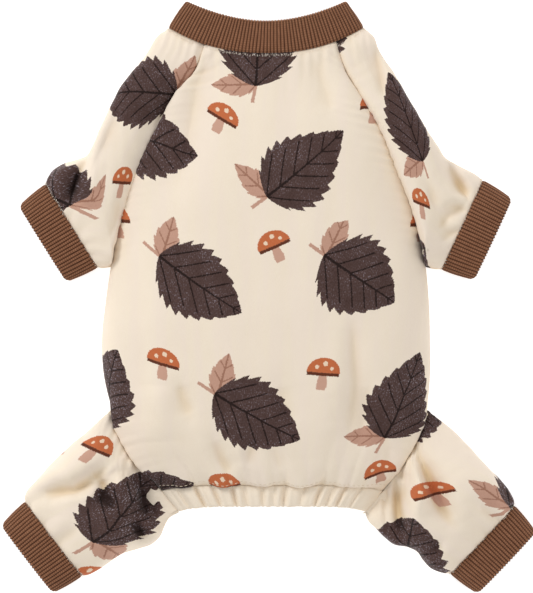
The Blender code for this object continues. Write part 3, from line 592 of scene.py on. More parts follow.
# %% [markdown]
# Fine cloth detail is added along the surface's normals. Three kinds matter: the short puckers beside
# a seam, the gathers where wide cloth is sewn into a narrow cuff, and a very soft unevenness all over.
# All of it comes from sums of a few waves or bumps with fixed seeds, which look irregular but come out
# the same each time.

# %% Irregular waves
def wavy(x, seed, pitch, spread=0.45, terms=5):
    """A wave of about one pitch along x, irregular in spacing and height, between -1 and 1."""
    rng = np.random.default_rng(seed)
    rates = rng.uniform(1 - spread, 1 + spread, terms) * 2 * math.pi / pitch
    phases, sizes = rng.uniform(0, 2 * math.pi, terms), rng.uniform(0.5, 1, terms)
    return sum(s * np.sin(r * x + p) for r, p, s in zip(rates, phases, sizes)) / sizes.sum()


def uneven(u, v, seed, size, terms=9):
    """Soft bumps of about one size in both directions, between -1 and 1."""
    rng = np.random.default_rng(seed)
    total = np.zeros(np.shape(u))
    for _ in range(terms):
        angle, rate = rng.uniform(0, math.pi), rng.uniform(0.6, 1.5) * 2 * math.pi / size
        total = total + np.sin(rate * (u * math.cos(angle) + v * math.sin(angle)) + rng.uniform(0, 6.3))
    return total / terms


def clear_of(distance, reach):
    """0 at a seam, and 1 well past its reach."""
    return 1 - np.exp(-distance / reach)


GATHER_WIDTHS, GATHER_START = (0.0016, 0.0034), 0.0015


def gathers(around, girth, distance, seed, count, depth, reach):
    """Folds that start at a seam round a tube. around is 0 to 1, and distance is from the seam."""
    rng = np.random.default_rng(seed)
    total = np.zeros(np.shape(distance))
    for k in range(count):
        middle = (k + rng.uniform(0.1, 0.9)) / count
        length, width = reach * rng.uniform(0.5, 1.7), rng.uniform(*GATHER_WIDTHS)
        lean, size = rng.uniform(-0.25, 0.25), depth * rng.uniform(0.35, 1.0)
        away = (around - middle + 0.5) % 1 - 0.5
        across = away * girth - lean * distance
        wide = width * (1 + distance / length * 1.6)
        total -= size * np.exp(-((np.abs(across) / wide) ** 1.6) - (distance / length) ** 1.5)
        total += 0.5 * size * np.exp(-(((across - 1.9 * wide) / wide) ** 2) - (distance / length) ** 1.5)
    return total * clear_of(distance, GATHER_START)


print("wave range:", np.round([wavy(np.linspace(0, 1, 99), 1, 0.05).min()], 2))

# %% [markdown]
# The wall of a cloth piece is its grid, a second grid one thickness further in, and a strip that joins
# them along the rim. Solidify does the same, but it turns freely at the rim. Here the rims of two sewn
# pieces have to meet, so the wall is built in code, with upright seams. Each corner of each face also
# gets its place on the flat cloth in metres as a UV map, and the inner side is marked, because fleece
# is printed on one side only.

# %% From a grid to a wall of cloth
INWARD, FLOOR_CLEAR = 16, 0.0004


def normals_of(grid, closed_from):
    """Outward normals of a grid of points, with the closed rows wrapped round."""
    down = np.gradient(grid, axis=0)
    over = np.gradient(grid, axis=1)
    if closed_from is not None:
        wrap = grid[closed_from:, 1] - grid[closed_from:, -2]
        over[closed_from:, 0] = over[closed_from:, -1] = wrap / 2
    normal = np.cross(over, down)
    return normal / np.maximum(np.linalg.norm(normal, axis=-1, keepdims=True), 1e-12)


def arc(grid, axis):
    """Length along the rows or columns of a grid, from its first point."""
    steps = np.linalg.norm(np.diff(grid, axis=axis), axis=-1)
    pad = [(0, 0), (0, 0)]
    pad[axis] = (1, 0)
    return np.pad(np.cumsum(steps, axis=axis), pad)


def seam_ways(edge, beside):
    """Directions into the wall along a sewn edge: level at a fold, upright on the lower or upper side.

    Beside is a column INWARD steps from the edge, past the place where cloth hangs over its seam.
    """
    level = beside - edge
    level[:, 2] = 0
    level /= np.maximum(np.linalg.norm(level, axis=1, keepdims=True), 1e-9)
    fold = np.clip(edge[:, 2:] / EDGE_HEIGHT, 0, 1)
    over = np.clip(edge[:, 2:] / EDGE_HEIGHT - 1, 0, 1)
    way = fold * (1 - over) * level + (1 - fold - over) * np.array([0.0, 0.0, 1.0])
    return way / np.maximum(np.linalg.norm(way, axis=1, keepdims=True), 1e-9)


def smoothed(heights, reach):
    """The heights averaged over some columns and rows on each side."""
    weights = np.convolve(*[np.full(2 * reach + 1, 1 / (2 * reach + 1))] * 2)
    for axis in (0, 1):
        heights = np.apply_along_axis(
            lambda row: np.convolve(np.pad(row, 2 * reach, mode="edge"), weights, "valid"), axis, heights
        )
    return heights


def hollows(grid, reach=6, depth=0.0042):
    """How far each point lies below the cloth around it, from 0 to 1 at the given depth."""
    return np.clip((smoothed(grid[..., 2], reach) - grid[..., 2]) / depth, 0, 1)


def mark(mesh, name, values):
    """Keeps one number for each point of the mesh, for its material."""
    layer = mesh.attributes.new(name, "FLOAT", "POINT")
    layer.data.foreach_set("value", np.ravel(values).astype(np.float32))


def lay_flat(mesh, corners):
    """Gives each corner of each face its place on the flat cloth, in metres, as a UV map."""
    layer = mesh.uv_layers.new(name="cloth")
    layer.uv.foreach_set("vector", corners.astype(np.float32).ravel())


def show(name, data):
    """Puts a mesh, a lamp or a camera into the scene as an object at the origin."""
    made = bpy.data.objects.new(name, data)
    bpy.context.scene.collection.objects.link(made)
    return made


def cloth_wall(name, grid, wall, cloth, closed_from=None):
    """Makes the piece. cloth holds each grid point's place on the flat cloth, in metres."""
    rows, columns = grid.shape[:2]
    index = np.arange(rows * columns).reshape(rows, columns)
    normal = normals_of(grid, closed_from)
    for k, beside in ((0, INWARD), (-1, -1 - INWARD)):
        end = len(grid) if closed_from is None else closed_from
        if end:
            normal[:end, k] = -seam_ways(grid[:end, k].copy(), grid[:end, beside])
    raw = np.stack([index[:-1, :-1], index[:-1, 1:], index[1:, 1:], index[1:, :-1]], -1).reshape(-1, 4)
    joined = index.copy()
    if closed_from is not None:
        joined[closed_from:, -1] = joined[closed_from:, 0]
    quads = joined.reshape(-1)[raw]
    used, quads = np.unique(quads, return_inverse=True)
    quads = quads.reshape(-1, 4)
    count = len(used)
    outer = grid.reshape(-1, 3)[used]
    inner = outer - normal.reshape(-1, 3)[used] * wall
    inner[:, 2] = np.maximum(inner[:, 2], FLOOR_CLEAR)
    sides = np.concatenate([quads[:, [i, (i + 1) % 4]] for i in range(4)])
    sides_cloth = np.concatenate([raw[:, [i, (i + 1) % 4]] for i in range(4)])
    seen = set(map(tuple, sides.tolist()))
    rim = [k for k, (a, b) in enumerate(sides.tolist()) if (b, a) not in seen]
    a, b = sides[rim].T
    faces = np.concatenate([quads, quads[:, ::-1] + count, np.stack([b, a, a + count, b + count], -1)])
    ends = sides_cloth[rim][:, [1, 0, 0, 1]]
    corners = np.concatenate([raw, raw[:, ::-1], ends])
    mesh = bpy.data.meshes.new(name)
    mesh.from_pydata(np.vstack([outer, inner]).tolist(), [], faces.tolist())
    lay_flat(mesh, cloth.reshape(-1, 2)[corners.reshape(-1)])
    mark(mesh, "inside", np.repeat([0.0, 1.0], count))
    # Two marks feed painted light: how far each point lies below the cloth around it, painted as shade, and
    # how far it leans, which raises the painted glints.
    mark(mesh, "shade_in_hollows", np.tile(hollows(grid).reshape(-1)[used], 2))
    mark(mesh, "lean", np.tile(1 - np.abs(normal.reshape(-1, 3)[used][:, 2]), 2))
    mesh.materials.append(FLEECE)
    mesh.shade_smooth()
    mesh.update()
    return show(name, mesh)


# %% [markdown]
# Every piece of the suit is cloth. Each one rides on the suit's body and replaces the plain solid of the
# same name.


def hand_over(piece, node):
    """Attaches the piece to the body that it rides on, and hides the plain solid that it replaces."""
    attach(piece, BODY)
    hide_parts(node)


# %% [markdown]
# The materials come next, because the ribs and stitches are finished with theirs as they are made. A
# shader is arithmetic on sockets, and a small wrapper lets it be written as on paper: the sum of two
# wrapped sockets adds a Math node. The same wrapper works in Geometry Nodes.

# %% Arithmetic with nodes
def maths(operation):
    """A method that adds one Math node."""
    return lambda self, *others: self.do(operation, *others)


class Value:
    """An output socket that can be added, multiplied and compared, each time through a Math node."""

    def __init__(self, tree, socket):
        self.tree, self.socket = tree, socket

    def do(self, operation, *others):
        made = self.tree.nodes.new("ShaderNodeMath")
        made.operation = operation
        for slot, item in zip(made.inputs, (self, *others)):
            plug(self.tree, slot, item)
        return Value(self.tree, made.outputs[0])

    __add__, __sub__, __mul__ = maths("ADD"), maths("SUBTRACT"), maths("MULTIPLY")
    __truediv__, __pow__ = maths("DIVIDE"), maths("POWER")
    size, whole, part = maths("ABSOLUTE"), maths("FLOOR"), maths("FRACT")
    least, most = maths("MINIMUM"), maths("MAXIMUM")
    sine, cosine = maths("SINE"), maths("COSINE")

    def step(self, low, high):
        """0 below low and 1 above high, with a smooth edge between them, or the reverse if low > high."""
        made = self.tree.nodes.new("ShaderNodeMapRange")
        made.interpolation_type = "SMOOTHSTEP"
        swap = low > high
        for slot, item in zip(made.inputs, (self, min(low, high), max(low, high), swap, not swap)):
            plug(self.tree, slot, item)
        return Value(self.tree, made.outputs[0])

    def below(self, soft):
        """1 below 0 and 0 above it, with a soft edge."""
        return self.step(soft, -soft)


def plug(tree, slot, item):
    """Links a wrapped socket to an input, or sets the input's own value."""
    if isinstance(item, Value):
        tree.links.new(item.socket, slot)
    else:
        slot.default_value = item


def plug_in(tree, made, inputs):
    for key, item in inputs.items():
        plug(tree, made.inputs[key], item)


def node(tree, kind, inputs=None, **settings):
    """Adds a node with its settings and inputs, and returns it."""
    made = tree.nodes.new(kind)
    for key, value in settings.items():
        setattr(made, key, value)
    plug_in(tree, made, inputs or {})
    return made


def out(tree, made, key=0):
    return Value(tree, made.outputs[key])


def result(tree, kind, inputs=None, key=0, **settings):
    """Adds a node and returns one of its outputs."""
    return out(tree, node(tree, kind, inputs, **settings), key)


def blend(tree, factor, low, high):
    """Mixes two colours, each a tuple or a wrapped socket."""
    made = node(tree, "ShaderNodeMix", data_type="RGBA")
    plug(tree, made.inputs[0], factor)
    for slot, item in ((made.inputs[6], low), (made.inputs[7], high)):
        plug(tree, slot, item if isinstance(item, Value) else (*item, 1.0))
    return out(tree, made, 2)


def new_material(name):
    material = bpy.data.materials.new(name)
    material.use_nodes = True
    tree = material.node_tree
    return material, tree, tree.nodes["Principled BSDF"]

# %% [markdown]
# The fleece is cream, with a print in dark taupe, soft pink-tan and rust. The print is a plain woodland
# one: large serrated leaves, each with a small tan leaf at its stalk, and little mushrooms between
# them. It could be an image, but a shape made of arithmetic stays sharp at any distance. A leaf is the
# set of points closer to its midrib than a width that swells and tapers along it, with a saw edge.

# %% Leaf and mushroom
LEAF_EDGE_SOFT, LINE_SOFT, SHAPE_SOFT = 0.00015, 0.0001, 0.0002
RIB_START, RIB_TAPER, VEIN_WIDTH, VEIN_REACH = 0.0009, 0.0005, 0.425, 0.80
CAP_HALF, CAP_RISE, RIM_HALF, RIM_HALF_THICK = 0.0108, 0.0096, 0.0104, 0.0010
STEM_HALF, STEM_WAIST, STEM_MIDDLE, STEM_HALF_LENGTH = 0.0034, 0.0075, 0.0058, 0.0050
SPOTS = ((-0.0045, 0.0035, 0.0013), (0.0008, 0.0060, 0.0015), (0.0052, 0.0030, 0.0011))


def leaf(x, y, length, width, teeth):
    """Inside and vein masks of a leaf whose stalk end is at 0 and whose tip lies along +x."""
    share = x / length
    clipped = share.most(0.0).least(1.0)
    swell = ((clipped ** 0.72) * math.pi).sine().most(0.0) ** 0.85
    saw = (clipped * teeth).part() * 0.16 + 0.90
    edge = swell * saw * width - 0.0004
    inside = (y.size() - edge).below(LEAF_EDGE_SOFT)
    rib = (y.size() - (clipped * -RIB_TAPER + RIB_START)).below(LINE_SOFT)
    side = ((share - y.size() / length) * (teeth * 0.62)).part()
    veins = ((side - 0.5).size() - VEIN_WIDTH).step(0.0, 0.03)
    veins = veins * (y.size() - edge * VEIN_REACH).below(LINE_SOFT)
    return inside, rib.most(veins)


def mushroom(x, y):
    """Masks of a cap, its dark rim, its stem and the spots on the cap."""
    dome = ((x / CAP_HALF) ** 2 + (y.most(0.0) / CAP_RISE) ** 2 - 1).below(0.03)
    cap = dome * y.step(-LINE_SOFT, LINE_SOFT)
    rim = (x.size() - RIM_HALF).below(SHAPE_SOFT)
    rim = rim * ((y + 0.0009).size() - RIM_HALF_THICK).below(SHAPE_SOFT)
    bulge = (y + STEM_WAIST).size() * -0.16 + STEM_HALF
    stem = (x.size() - bulge).below(SHAPE_SOFT)
    stem = stem * ((y + STEM_MIDDLE).size() - STEM_HALF_LENGTH).below(SHAPE_SOFT)
    spots = None
    for at_x, at_y, radius in SPOTS:
        spot = ((x - at_x) ** 2 + (y - at_y) ** 2 - radius**2).below(4e-7)
        spots = spot if spots is None else spots.most(spot)
    return cap, rim, stem, spots

# %% [markdown]
# The print repeats on a slanted lattice: each row of cells is shifted by a third of a cell. White noise
# of the cell's number turns and nudges each leaf, so that no two rows look alike.

# %% A cell of the print
CELL_ACROSS, CELL_ALONG = 0.100, 0.080


def cell(tree, u, v, across, along, seed, swing, nudge):
    """Place of a point inside its cell of the lattice, turned and nudged at random."""
    down = v / CELL_ALONG + along
    row = down.whole()
    over = u / CELL_ACROSS + row / 3 + across
    column = over.whole()
    number = result(tree, "ShaderNodeCombineXYZ", {0: column, 1: row, 2: seed})
    noise = result(tree, "ShaderNodeTexWhiteNoise", {"Vector": number}, "Color", noise_dimensions="3D")
    parts = node(tree, "ShaderNodeSeparateColor", {0: noise})
    one, two, three = (out(tree, parts, k) - 0.5 for k in range(3))
    x = (over - column - 0.5) * CELL_ACROSS + two * nudge
    y = (down - row - 0.5) * CELL_ALONG + three * nudge
    angle = one * swing[1] + swing[0]
    cosine, sine = angle.cosine(), angle.sine()
    return x * cosine + y * sine, y * cosine - x * sine

# %% [markdown]
# Short-pile fleece is not smooth. Its hairs blur the print's edges by a fraction of a millimetre, catch
# light as fine streaks along the pile, and lie this way and that in soft patches. Noise at three sizes
# gives these, in colour and in bump. The sheen is the pale glow of hair seen edge on. On the inner side
# the print fades out. Shade is also painted into the colour: cloth that lies below the cloth around it
# turns a darker warm yellow, and the dark print there turns near black. The dark print also gets painted
# glints of pale lavender, more where the cloth leans.

# %% Fleece
CREAM, CREAM_SHADE, CREAM_ROSY = (0.875, 0.772, 0.640), (0.835, 0.715, 0.565), (0.845, 0.725, 0.620)
# Painted shade: the warm yellow that cloth turns to in its hollows and creases.
HOLLOW_SHADE_CREAM = (0.650, 0.460, 0.220)
TAUPE, TAUPE_LIGHT, TAUPE_DARK = (0.026, 0.011, 0.008), (0.122, 0.072, 0.064), (0.008, 0.003, 0.002)
# Painted glint colour for the dark print.
TAUPE_GLINT = (0.460, 0.410, 0.470)
PINK_TAN, TAN_SHADE = (0.560, 0.330, 0.245), (0.330, 0.165, 0.110)
RUST, RUST_LIGHT, RUST_DARK = (0.490, 0.120, 0.040), (0.620, 0.220, 0.100), (0.110, 0.030, 0.014)
SPOT_CREAM = (0.800, 0.620, 0.460)
PRINT_BLUR, BLUR_SIZE = 0.0016, (0.0009, 0.0007)
PILE, PATCH, LONG_STREAK, GLINT = (0.0016, 0.0005), (0.016, 0.011), (0.110, 0.009), (0.0013, 0.0007)
LEAF_LENGTH, LEAF_HALF_WIDTH, LEAF_TEETH, LEAF_BACK = 0.061, 0.0245, 9, 0.030
SMALL_LENGTH, SMALL_HALF_WIDTH, SMALL_TEETH, SMALL_BACK = 0.030, 0.0085, 5, 0.028
STALK_HALF_WIDTH, STALK_HALF_LENGTH, STALK_BACK = 0.0011, 0.007, 0.035


def streaks(tree, place, size, seed, detail=2.0):
    """Noise in streaks, from 0 to 1. place is in metres, and size is a streak's length and width."""
    scale = (1 / size[1], 1 / size[0], 1.0)
    moved = result(tree, "ShaderNodeMapping", {"Vector": place, "Location": (seed, seed, 0), "Scale": scale})
    settings = {"Vector": moved, "Scale": 1.0, "Detail": detail, "Roughness": 0.55}
    return result(tree, "ShaderNodeTexNoise", settings)


def attribute(tree, name):
    return result(tree, "ShaderNodeAttribute", None, "Fac", attribute_name=name)


def print_shapes(tree, place):
    """Masks of the printed shapes at a place on the flat cloth, with edges blurred by the pile."""
    blur = [(streaks(tree, place, BLUR_SIZE, seed, 1.0) - 0.5) * PRINT_BLUR for seed in (3.1, 10.1)]
    split = node(tree, "ShaderNodeSeparateXYZ", {0: place})
    u, v = (out(tree, split, k) + blur[k] for k in (0, 1))
    x, y = cell(tree, u, v, 0.5, 0.5, 5.0, (0.5, 2.6), 0.006)
    big = leaf(x + LEAF_BACK, y, LEAF_LENGTH, LEAF_HALF_WIDTH, LEAF_TEETH)
    small_x = (x + SMALL_BACK) * -0.2 + y * 0.98 + 0.001
    small_y = (x + SMALL_BACK) * -0.98 - y * 0.2
    small = leaf(small_x, small_y, SMALL_LENGTH, SMALL_HALF_WIDTH, SMALL_TEETH)
    stalk = (y.size() - STALK_HALF_WIDTH).below(SHAPE_SOFT)
    stalk = stalk * ((x + STALK_BACK).size() - STALK_HALF_LENGTH).below(SHAPE_SOFT)
    return big, small, stalk, mushroom(*cell(tree, u, v, 0.056, 0.167, 9.0, (0.0, 0.9), 0.004))


def fleece_material():
    material, tree, shader = new_material("cream_fleece")
    place = result(tree, "ShaderNodeUVMap", uv_map="cloth")
    inside, shade_in_hollows, lean = (attribute(tree, name) for name in ("inside", "shade_in_hollows", "lean"))
    pile = streaks(tree, place, PILE, 11.0)
    patches = streaks(tree, place, PATCH, 23.0)
    fine = (pile - 0.5) * 1.6 + 0.5
    long_streaks = streaks(tree, place, LONG_STREAK, 67.0).step(0.38, 0.64)
    colour = blend(tree, patches * 0.5 + fine * 0.5, CREAM_SHADE, CREAM)
    # Long soft streaks of a slightly darker, rosier cream run down the cloth.
    colour = blend(tree, long_streaks * 0.55, colour, CREAM_ROSY)
    # Painted shade: cloth that lies below the cloth around it turns a darker warm yellow.
    colour = blend(tree, shade_in_hollows * 0.62, colour, HOLLOW_SHADE_CREAM)

    (big, veins), (small, small_veins), stalk, (cap, rim, stem, spots) = print_shapes(tree, place)
    tan = blend(tree, fine * 0.35, PINK_TAN, TAN_SHADE)
    dark = blend(tree, fine * 0.6 + patches * 0.4, TAUPE, TAUPE_LIGHT)
    # Painted shade on the dark print: in the hollows it turns near black.
    dark = blend(tree, (shade_in_hollows * 0.9).least(0.6), dark, TAUPE_DARK)
    # Painted glints: pale lavender specks on the dark print, more where the cloth leans away from level and
    # in random patches, fewer in the hollows.
    lit = ((patches - 0.36).most(0.0) * 1.2 + lean * 1.1) * (shade_in_hollows * -0.9 + 1.0)
    glints = streaks(tree, place, GLINT, 57.0, 1.0).step(0.56, 0.70) * lit
    dark = blend(tree, glints.least(0.75), dark, TAUPE_GLINT)
    dark = blend(tree, veins * 0.85, dark, TAUPE_DARK)
    rust = blend(tree, fine * 0.45, RUST, RUST_LIGHT)
    unprinted = blend(tree, fine, CREAM_SHADE, CREAM)
    layers = (
        ((small + stalk).least(1.0), tan), (small * small_veins, TAN_SHADE), (big, dark), (stem, PINK_TAN),
        (cap, rust), (cap * spots, SPOT_CREAM), (rim, RUST_DARK), (inside.step(0.15, 0.7), unprinted),
    )
    for mask, ink in layers:
        colour = blend(tree, mask, colour, ink)

    height = pile * 0.7 + patches * 1.6
    nap = result(tree, "ShaderNodeBump", {"Strength": 0.35, "Distance": 0.0005, "Height": height})
    plug_in(tree, shader, {
        "Base Color": colour, "Normal": nap, "Roughness": pile * -0.15 + 0.92, "Specular IOR Level": 0.15,
        "Sheen Weight": 0.22, "Sheen Roughness": 0.35, "Sheen Tint": (1.0, 0.94, 0.90, 1.0),
    })
    return material


FLEECE = fleece_material()
print("fleece has", len(FLEECE.node_tree.nodes), "nodes")

# %% [markdown]
# Rib knit is a row of round ridges with narrow valleys. The ridges are real geometry, added below; the
# material paints shade into the valleys with a much darker brown and paints the loops on the ridges
# lighter, and bump draws the small slanting loops of yarn along every ridge.
# Yarn is never one even colour, so noise lightens and darkens it from loop to loop.

# %% Rib knit
RIB_PITCH, LOOP_PITCH = 0.0023, 0.0015
RIDGE_DARK, RIDGE_PALE = (0.132, 0.046, 0.018), (0.455, 0.218, 0.118)
# The valley colours are painted shade between the ribs.
VALLEY_DARK, VALLEY_PALE = (0.034, 0.009, 0.003), (0.072, 0.021, 0.007)
YARN, FUZZ, WEAR = (0.0040, 0.0011), (0.0006, 0.0005), (0.020, 0.030)


def rib_material():
    material, tree, shader = new_material("brown_rib_knit")
    place = result(tree, "ShaderNodeUVMap", uv_map="cloth")
    split = node(tree, "ShaderNodeSeparateXYZ", {0: place})
    u, v = out(tree, split, 0), out(tree, split, 1)
    off = ((u / RIB_PITCH).part() - 0.5).size()
    loops = ((v / LOOP_PITCH + off * 0.9) * (2 * math.pi)).sine() * 0.5 + 0.5
    yarn, fuzz, wear = (streaks(tree, place, *row) for row in ((YARN, 31.0), (FUZZ, 41.0), (WEAR, 47.0)))
    ridge = blend(tree, yarn * 0.6 + fuzz * 0.4, RIDGE_DARK, RIDGE_PALE)
    valley = blend(tree, fuzz, VALLEY_DARK, VALLEY_PALE)
    raised = attribute(tree, "rib_height").step(0.12, 0.95)
    # Painted shade and highlight: lit runs from the dark valley colour to the ridge colour, higher on the
    # ridges and on the crest of each loop; wear adds soft random lighter patches.
    lit = (raised * (loops * 0.66 + 0.44) + wear * 0.20 - 0.06).most(0.0).least(1.0)
    height = loops * 0.8 + fuzz * 0.7
    bump = result(tree, "ShaderNodeBump", {"Strength": 0.6, "Distance": 0.0003, "Height": height})
    plug_in(tree, shader, {
        "Base Color": blend(tree, lit, valley, ridge), "Normal": bump, "Roughness": 0.88,
        "Specular IOR Level": 0.2, "Sheen Weight": 0.12, "Sheen Roughness": 0.5,
        "Sheen Tint": (1.0, 0.86, 0.74, 1.0),
    })
    return material


RIB = rib_material()
print("rib knit has", len(RIB.node_tree.nodes), "nodes")

# %% [markdown]
# The back panel is the suit's face. After its main folds it gets soft unevenness, a dip where it rolls
# into each seam, short puckers beside the sleeve and leg seams, and the long soft gathers that the
# elastic of the hem pulls up into it. The gathers share one wave with the hem, so that the two still
# meet. Last, the soft cloth is let hang out a few millimetres over its sleeve, leg and hem seams.

# %% The wave of the hem, shared by the hem and the back panel
HEM_RIPPLE, HEM_SEED = 0.0009, 21


def hem_wave(share):
    """Uneven pleats along the hem from its left end, 0, to its right, 1: narrow valleys, soft ridges."""
    rng = np.random.default_rng(HEM_SEED)
    total = np.zeros(np.shape(share)) + 0.25
    for k in range(HEM_PLEATS):
        place = (k + rng.uniform(0.15, 0.85)) / HEM_PLEATS
        width, size = rng.uniform(0.008, 0.017), rng.uniform(0.45, 1.35)
        away = (share - place) / width
        total -= size * np.exp(-(np.abs(away) ** 1.5))
        for centre, height in ((2.3, 0.35), (-2.2, 0.20)):
            total += height * size * np.exp(-((away - centre) ** 2) / 1.8)
    return total * np.clip(np.sin(math.pi * share) * 3, 0, 1)


def seam_dip(distance, depth, width=0.0015):
    """A short drop of the cloth into its seam."""
    return -depth * np.exp(-((distance / width) ** 1.5))


def hump(distance, reach):
    """0 at a seam, 1 at its reach, and fading further in."""
    return distance / reach * np.exp(1 - distance / reach)


def puckers(along, distance, seed, depth=0.0006, pitch=0.008, reach=0.005):
    """Short folds square to a seam, strongest a little way in from it."""
    return depth * hump(distance, reach) * wavy(along, seed, pitch)

# %% Back panel
PANEL_CROWD, BACK_STEPS, BACK_COLUMNS = 0.6, (104, 62, 44), 216
PRINT_ASIDE, PRINT_UP = 0.009, 0.0064
SEAM_OVERHANG, SEAM_REACH, LEG_OVERHANG_GAIN = {"left": 0.0034, "right": 0.0024}, 0.0048, 1.25
HEM_OVERHANG, HEM_REACH = 0.0040, 0.0040
BACK_UNEVEN = ((0.0010, 0.30, 0.034), (0.0007, 1.0, 0.050))
SIDE_CALM, NECK_CALM, HEM_CALM, HEM_BLEND, HEM_CORNER = 0.006, 0.004, 0.004, 0.003, 0.008
SIDE_DIP, NECK_DIP = (0.0014, 0.0016), (0.0006, 0.0015)
SHORT_GATHER, LONG_GATHER = 0.007, 0.022


def pull_in(grid):
    """Moves the first and last rows towards their neighbours by half a seam's gap."""
    for end, beside in ((0, 1), (-1, -2)):
        step = grid[beside] - grid[end]
        grid[end] += step / np.maximum(np.linalg.norm(step, axis=1, keepdims=True), 1e-9) * SEAM_GAP / 2


def overhang(grid, distance, rows, side, amount):
    """Pushes the panel out over its sleeve and leg seams, level and square to the seam."""
    edge = grid[:, 0 if side < 0 else -1, :2]
    ahead = np.gradient(edge, axis=0)
    outward = np.stack([ahead[:, 1], -ahead[:, 0]], -1)
    outward *= np.sign(outward[:, :1]) * side / np.linalg.norm(outward, axis=1, keepdims=True)
    sleeve = np.clip((UNDERARM - rows) / 0.10, 0, 1) * np.clip(rows / 0.06, 0, 1)
    leg = np.clip((rows - LEG_START + 0.02) / 0.05, 0, 1) * np.clip((0.95 - rows) / 0.03, 0, 1)
    push = amount * (sleeve + LEG_OVERHANG_GAIN * leg) * hump(distance, SEAM_REACH)
    grid[..., :2] += outward[:, None, :] * push[..., None]


def back_relief(share, u, v, down, to_sides, to_neck, to_hem, rows):
    """Fine folds of the back: the part that follows the surface, and the part that is upright."""
    height = sum(a * uneven(u, v * drawn, 71 + k, size) for k, (a, drawn, size) in enumerate(BACK_UNEVEN))
    upright = np.zeros_like(height)
    sewn = np.clip((UNDERARM - rows) / 0.03, 0, 1) + np.clip((rows - LEG_START) / 0.03, 0, 1)
    for k, distance in enumerate(to_sides):
        height = height * clear_of(distance, SIDE_CALM) + sewn * puckers(down, distance, 73 + k)
        upright += sewn * seam_dip(distance, *SIDE_DIP)
    height *= clear_of(to_neck, NECK_CALM)
    height += puckers(u, to_neck, 75)
    height *= clear_of(to_hem, HEM_CALM)
    hem = HEM_RIPPLE * hem_wave(share)
    long_ones = 0.5 + 0.5 * wavy(share, 76, 0.11)
    near_hem = 0.5 * np.exp(-to_hem / SHORT_GATHER)
    near_hem = near_hem + 1.3 * long_ones * np.exp(-((to_hem / LONG_GATHER) ** 1.5))
    height += hem * near_hem * clear_of(to_hem, HEM_BLEND)
    upright += seam_dip(to_neck, *NECK_DIP) + hem * np.exp(-to_hem / HEM_BLEND)
    return height, upright


def back_panel():
    fine = panel_grid(True, BACK_STEPS)
    grid = np.array([resample(row, BACK_COLUMNS + 1, SEAM_GAP / 2, PANEL_CROWD) for row in fine])[::-1]
    pull_in(grid)
    plain = grid.copy()
    over, down = arc(grid, 1), arc(grid, 0)
    to_sides = over, over[:, -1:] - over
    to_hem, to_neck = down, down[-1:] - down
    share = over / over[:, -1:]
    u, v = over - over[:, -1:] / 2, -to_neck
    rows = panel_steps(BACK_STEPS)[::-1][:, None]
    height, upright = back_relief(share, u, v, down, to_sides, to_neck, to_hem, rows)
    grid = grid + normals_of(grid, None) * height[..., None]
    for distance, (name, (side, *_)) in zip(to_sides, SLEEVES.items()):
        overhang(grid, distance, rows[:, 0:1], side, SEAM_OVERHANG[name])
    grid[..., 2] += upright
    scallops = np.clip(0.55 + 0.9 * wavy(share, 77, 0.20), 0, 1.3)
    sag = HEM_OVERHANG * scallops * hump(to_hem, HEM_REACH) * clear_of(np.minimum(*to_sides), HEM_CORNER)
    grid[..., 1] -= sag
    grid[..., 2] += 0.5 * sag
    cloth = np.stack([u + PRINT_ASIDE, v - PRINT_UP], -1)
    return cloth_wall("back_cloth", grid, FLEECE_WALL, cloth), plain, grid


BACK_CLOTH, BACK_PLAIN, BACK_GRID = back_panel()

# %% [markdown]
# The belly panel carries the suit's weight, so its middle lies flat and only its edges turn up to meet
# the back. It shows inside the neck and the hem.

# %% Belly panel
BELLY_STEPS, BELLY_COLUMNS, BELLY_PRINT = (48, 32, 20), 96, (0.031, 0.027)


def belly_panel():
    fine = panel_grid(False, BELLY_STEPS)
    grid = np.array([resample(row, BELLY_COLUMNS + 1, SEAM_GAP / 2, PANEL_CROWD) for row in fine])[::-1]
    pull_in(grid)
    grid = grid[:, ::-1]
    over, down = arc(grid, 1), arc(grid, 0)
    aside, up = BELLY_PRINT
    cloth = np.stack([over[:, -1:] / 2 - over + aside, down - down[-1:] - up], -1)
    piece = cloth_wall("belly_cloth", grid, FLEECE_WALL, cloth)
    hand_over(piece, "belly_panel")


belly_panel()

# %% [markdown]
# Sleeves and legs are cut from the same cloth with the print at another place. Near the cuff their
# width is gathered into the knit: each gather is a narrow valley with a soft ridge beside it, and it
# runs a few centimetres up the limb before it is gone.

# %% Edges with a fringe of pile
FRINGE_EDGES = []


def fringe_edge(points, way):
    """Keeps a row near a seam, and the way that the pile there points, where the row can be seen."""
    seen = points[:, 2] > 0.6 * EDGE_HEIGHT
    way = way / np.maximum(np.linalg.norm(way, axis=1, keepdims=True), 1e-9)
    FRINGE_EDGES.append((points[seen], way[seen]))


fringe_edge(BACK_GRID[-2], BACK_GRID[-1] - BACK_GRID[-4])

# %% Sleeves and legs
LIMB_COLUMNS_COUNT, PRINT_SMOOTHING = 150, 7
CLOTH_START = {
    "sleeve_left": (0.093, 0.047), "sleeve_right": (-0.010, 0.065),
    "leg_left": (0.015, 0.053), "leg_right": (0.074, -0.004),
}
ROOT_DIP = {"sleeve": (0.0006, 0.0015), "leg": (0.0026, 0.0036)}
UNDER_DIP, CUFF_DIP, CUFF_HUMP, CUFF_REACH = (0.0022, 0.0032), 0.0004, 0.0011, 0.0035
LIMB_UNEVEN, ROOT_CALM, CUFF_CALM = ((0.0008, 0.045), (0.0003, 0.018)), 0.004, 0.005
GATHER_COUNT, GATHER_DEPTH, GATHER_REACH, SEWN_ROWS_FADE = 17, 0.0019, 0.018, 4.0


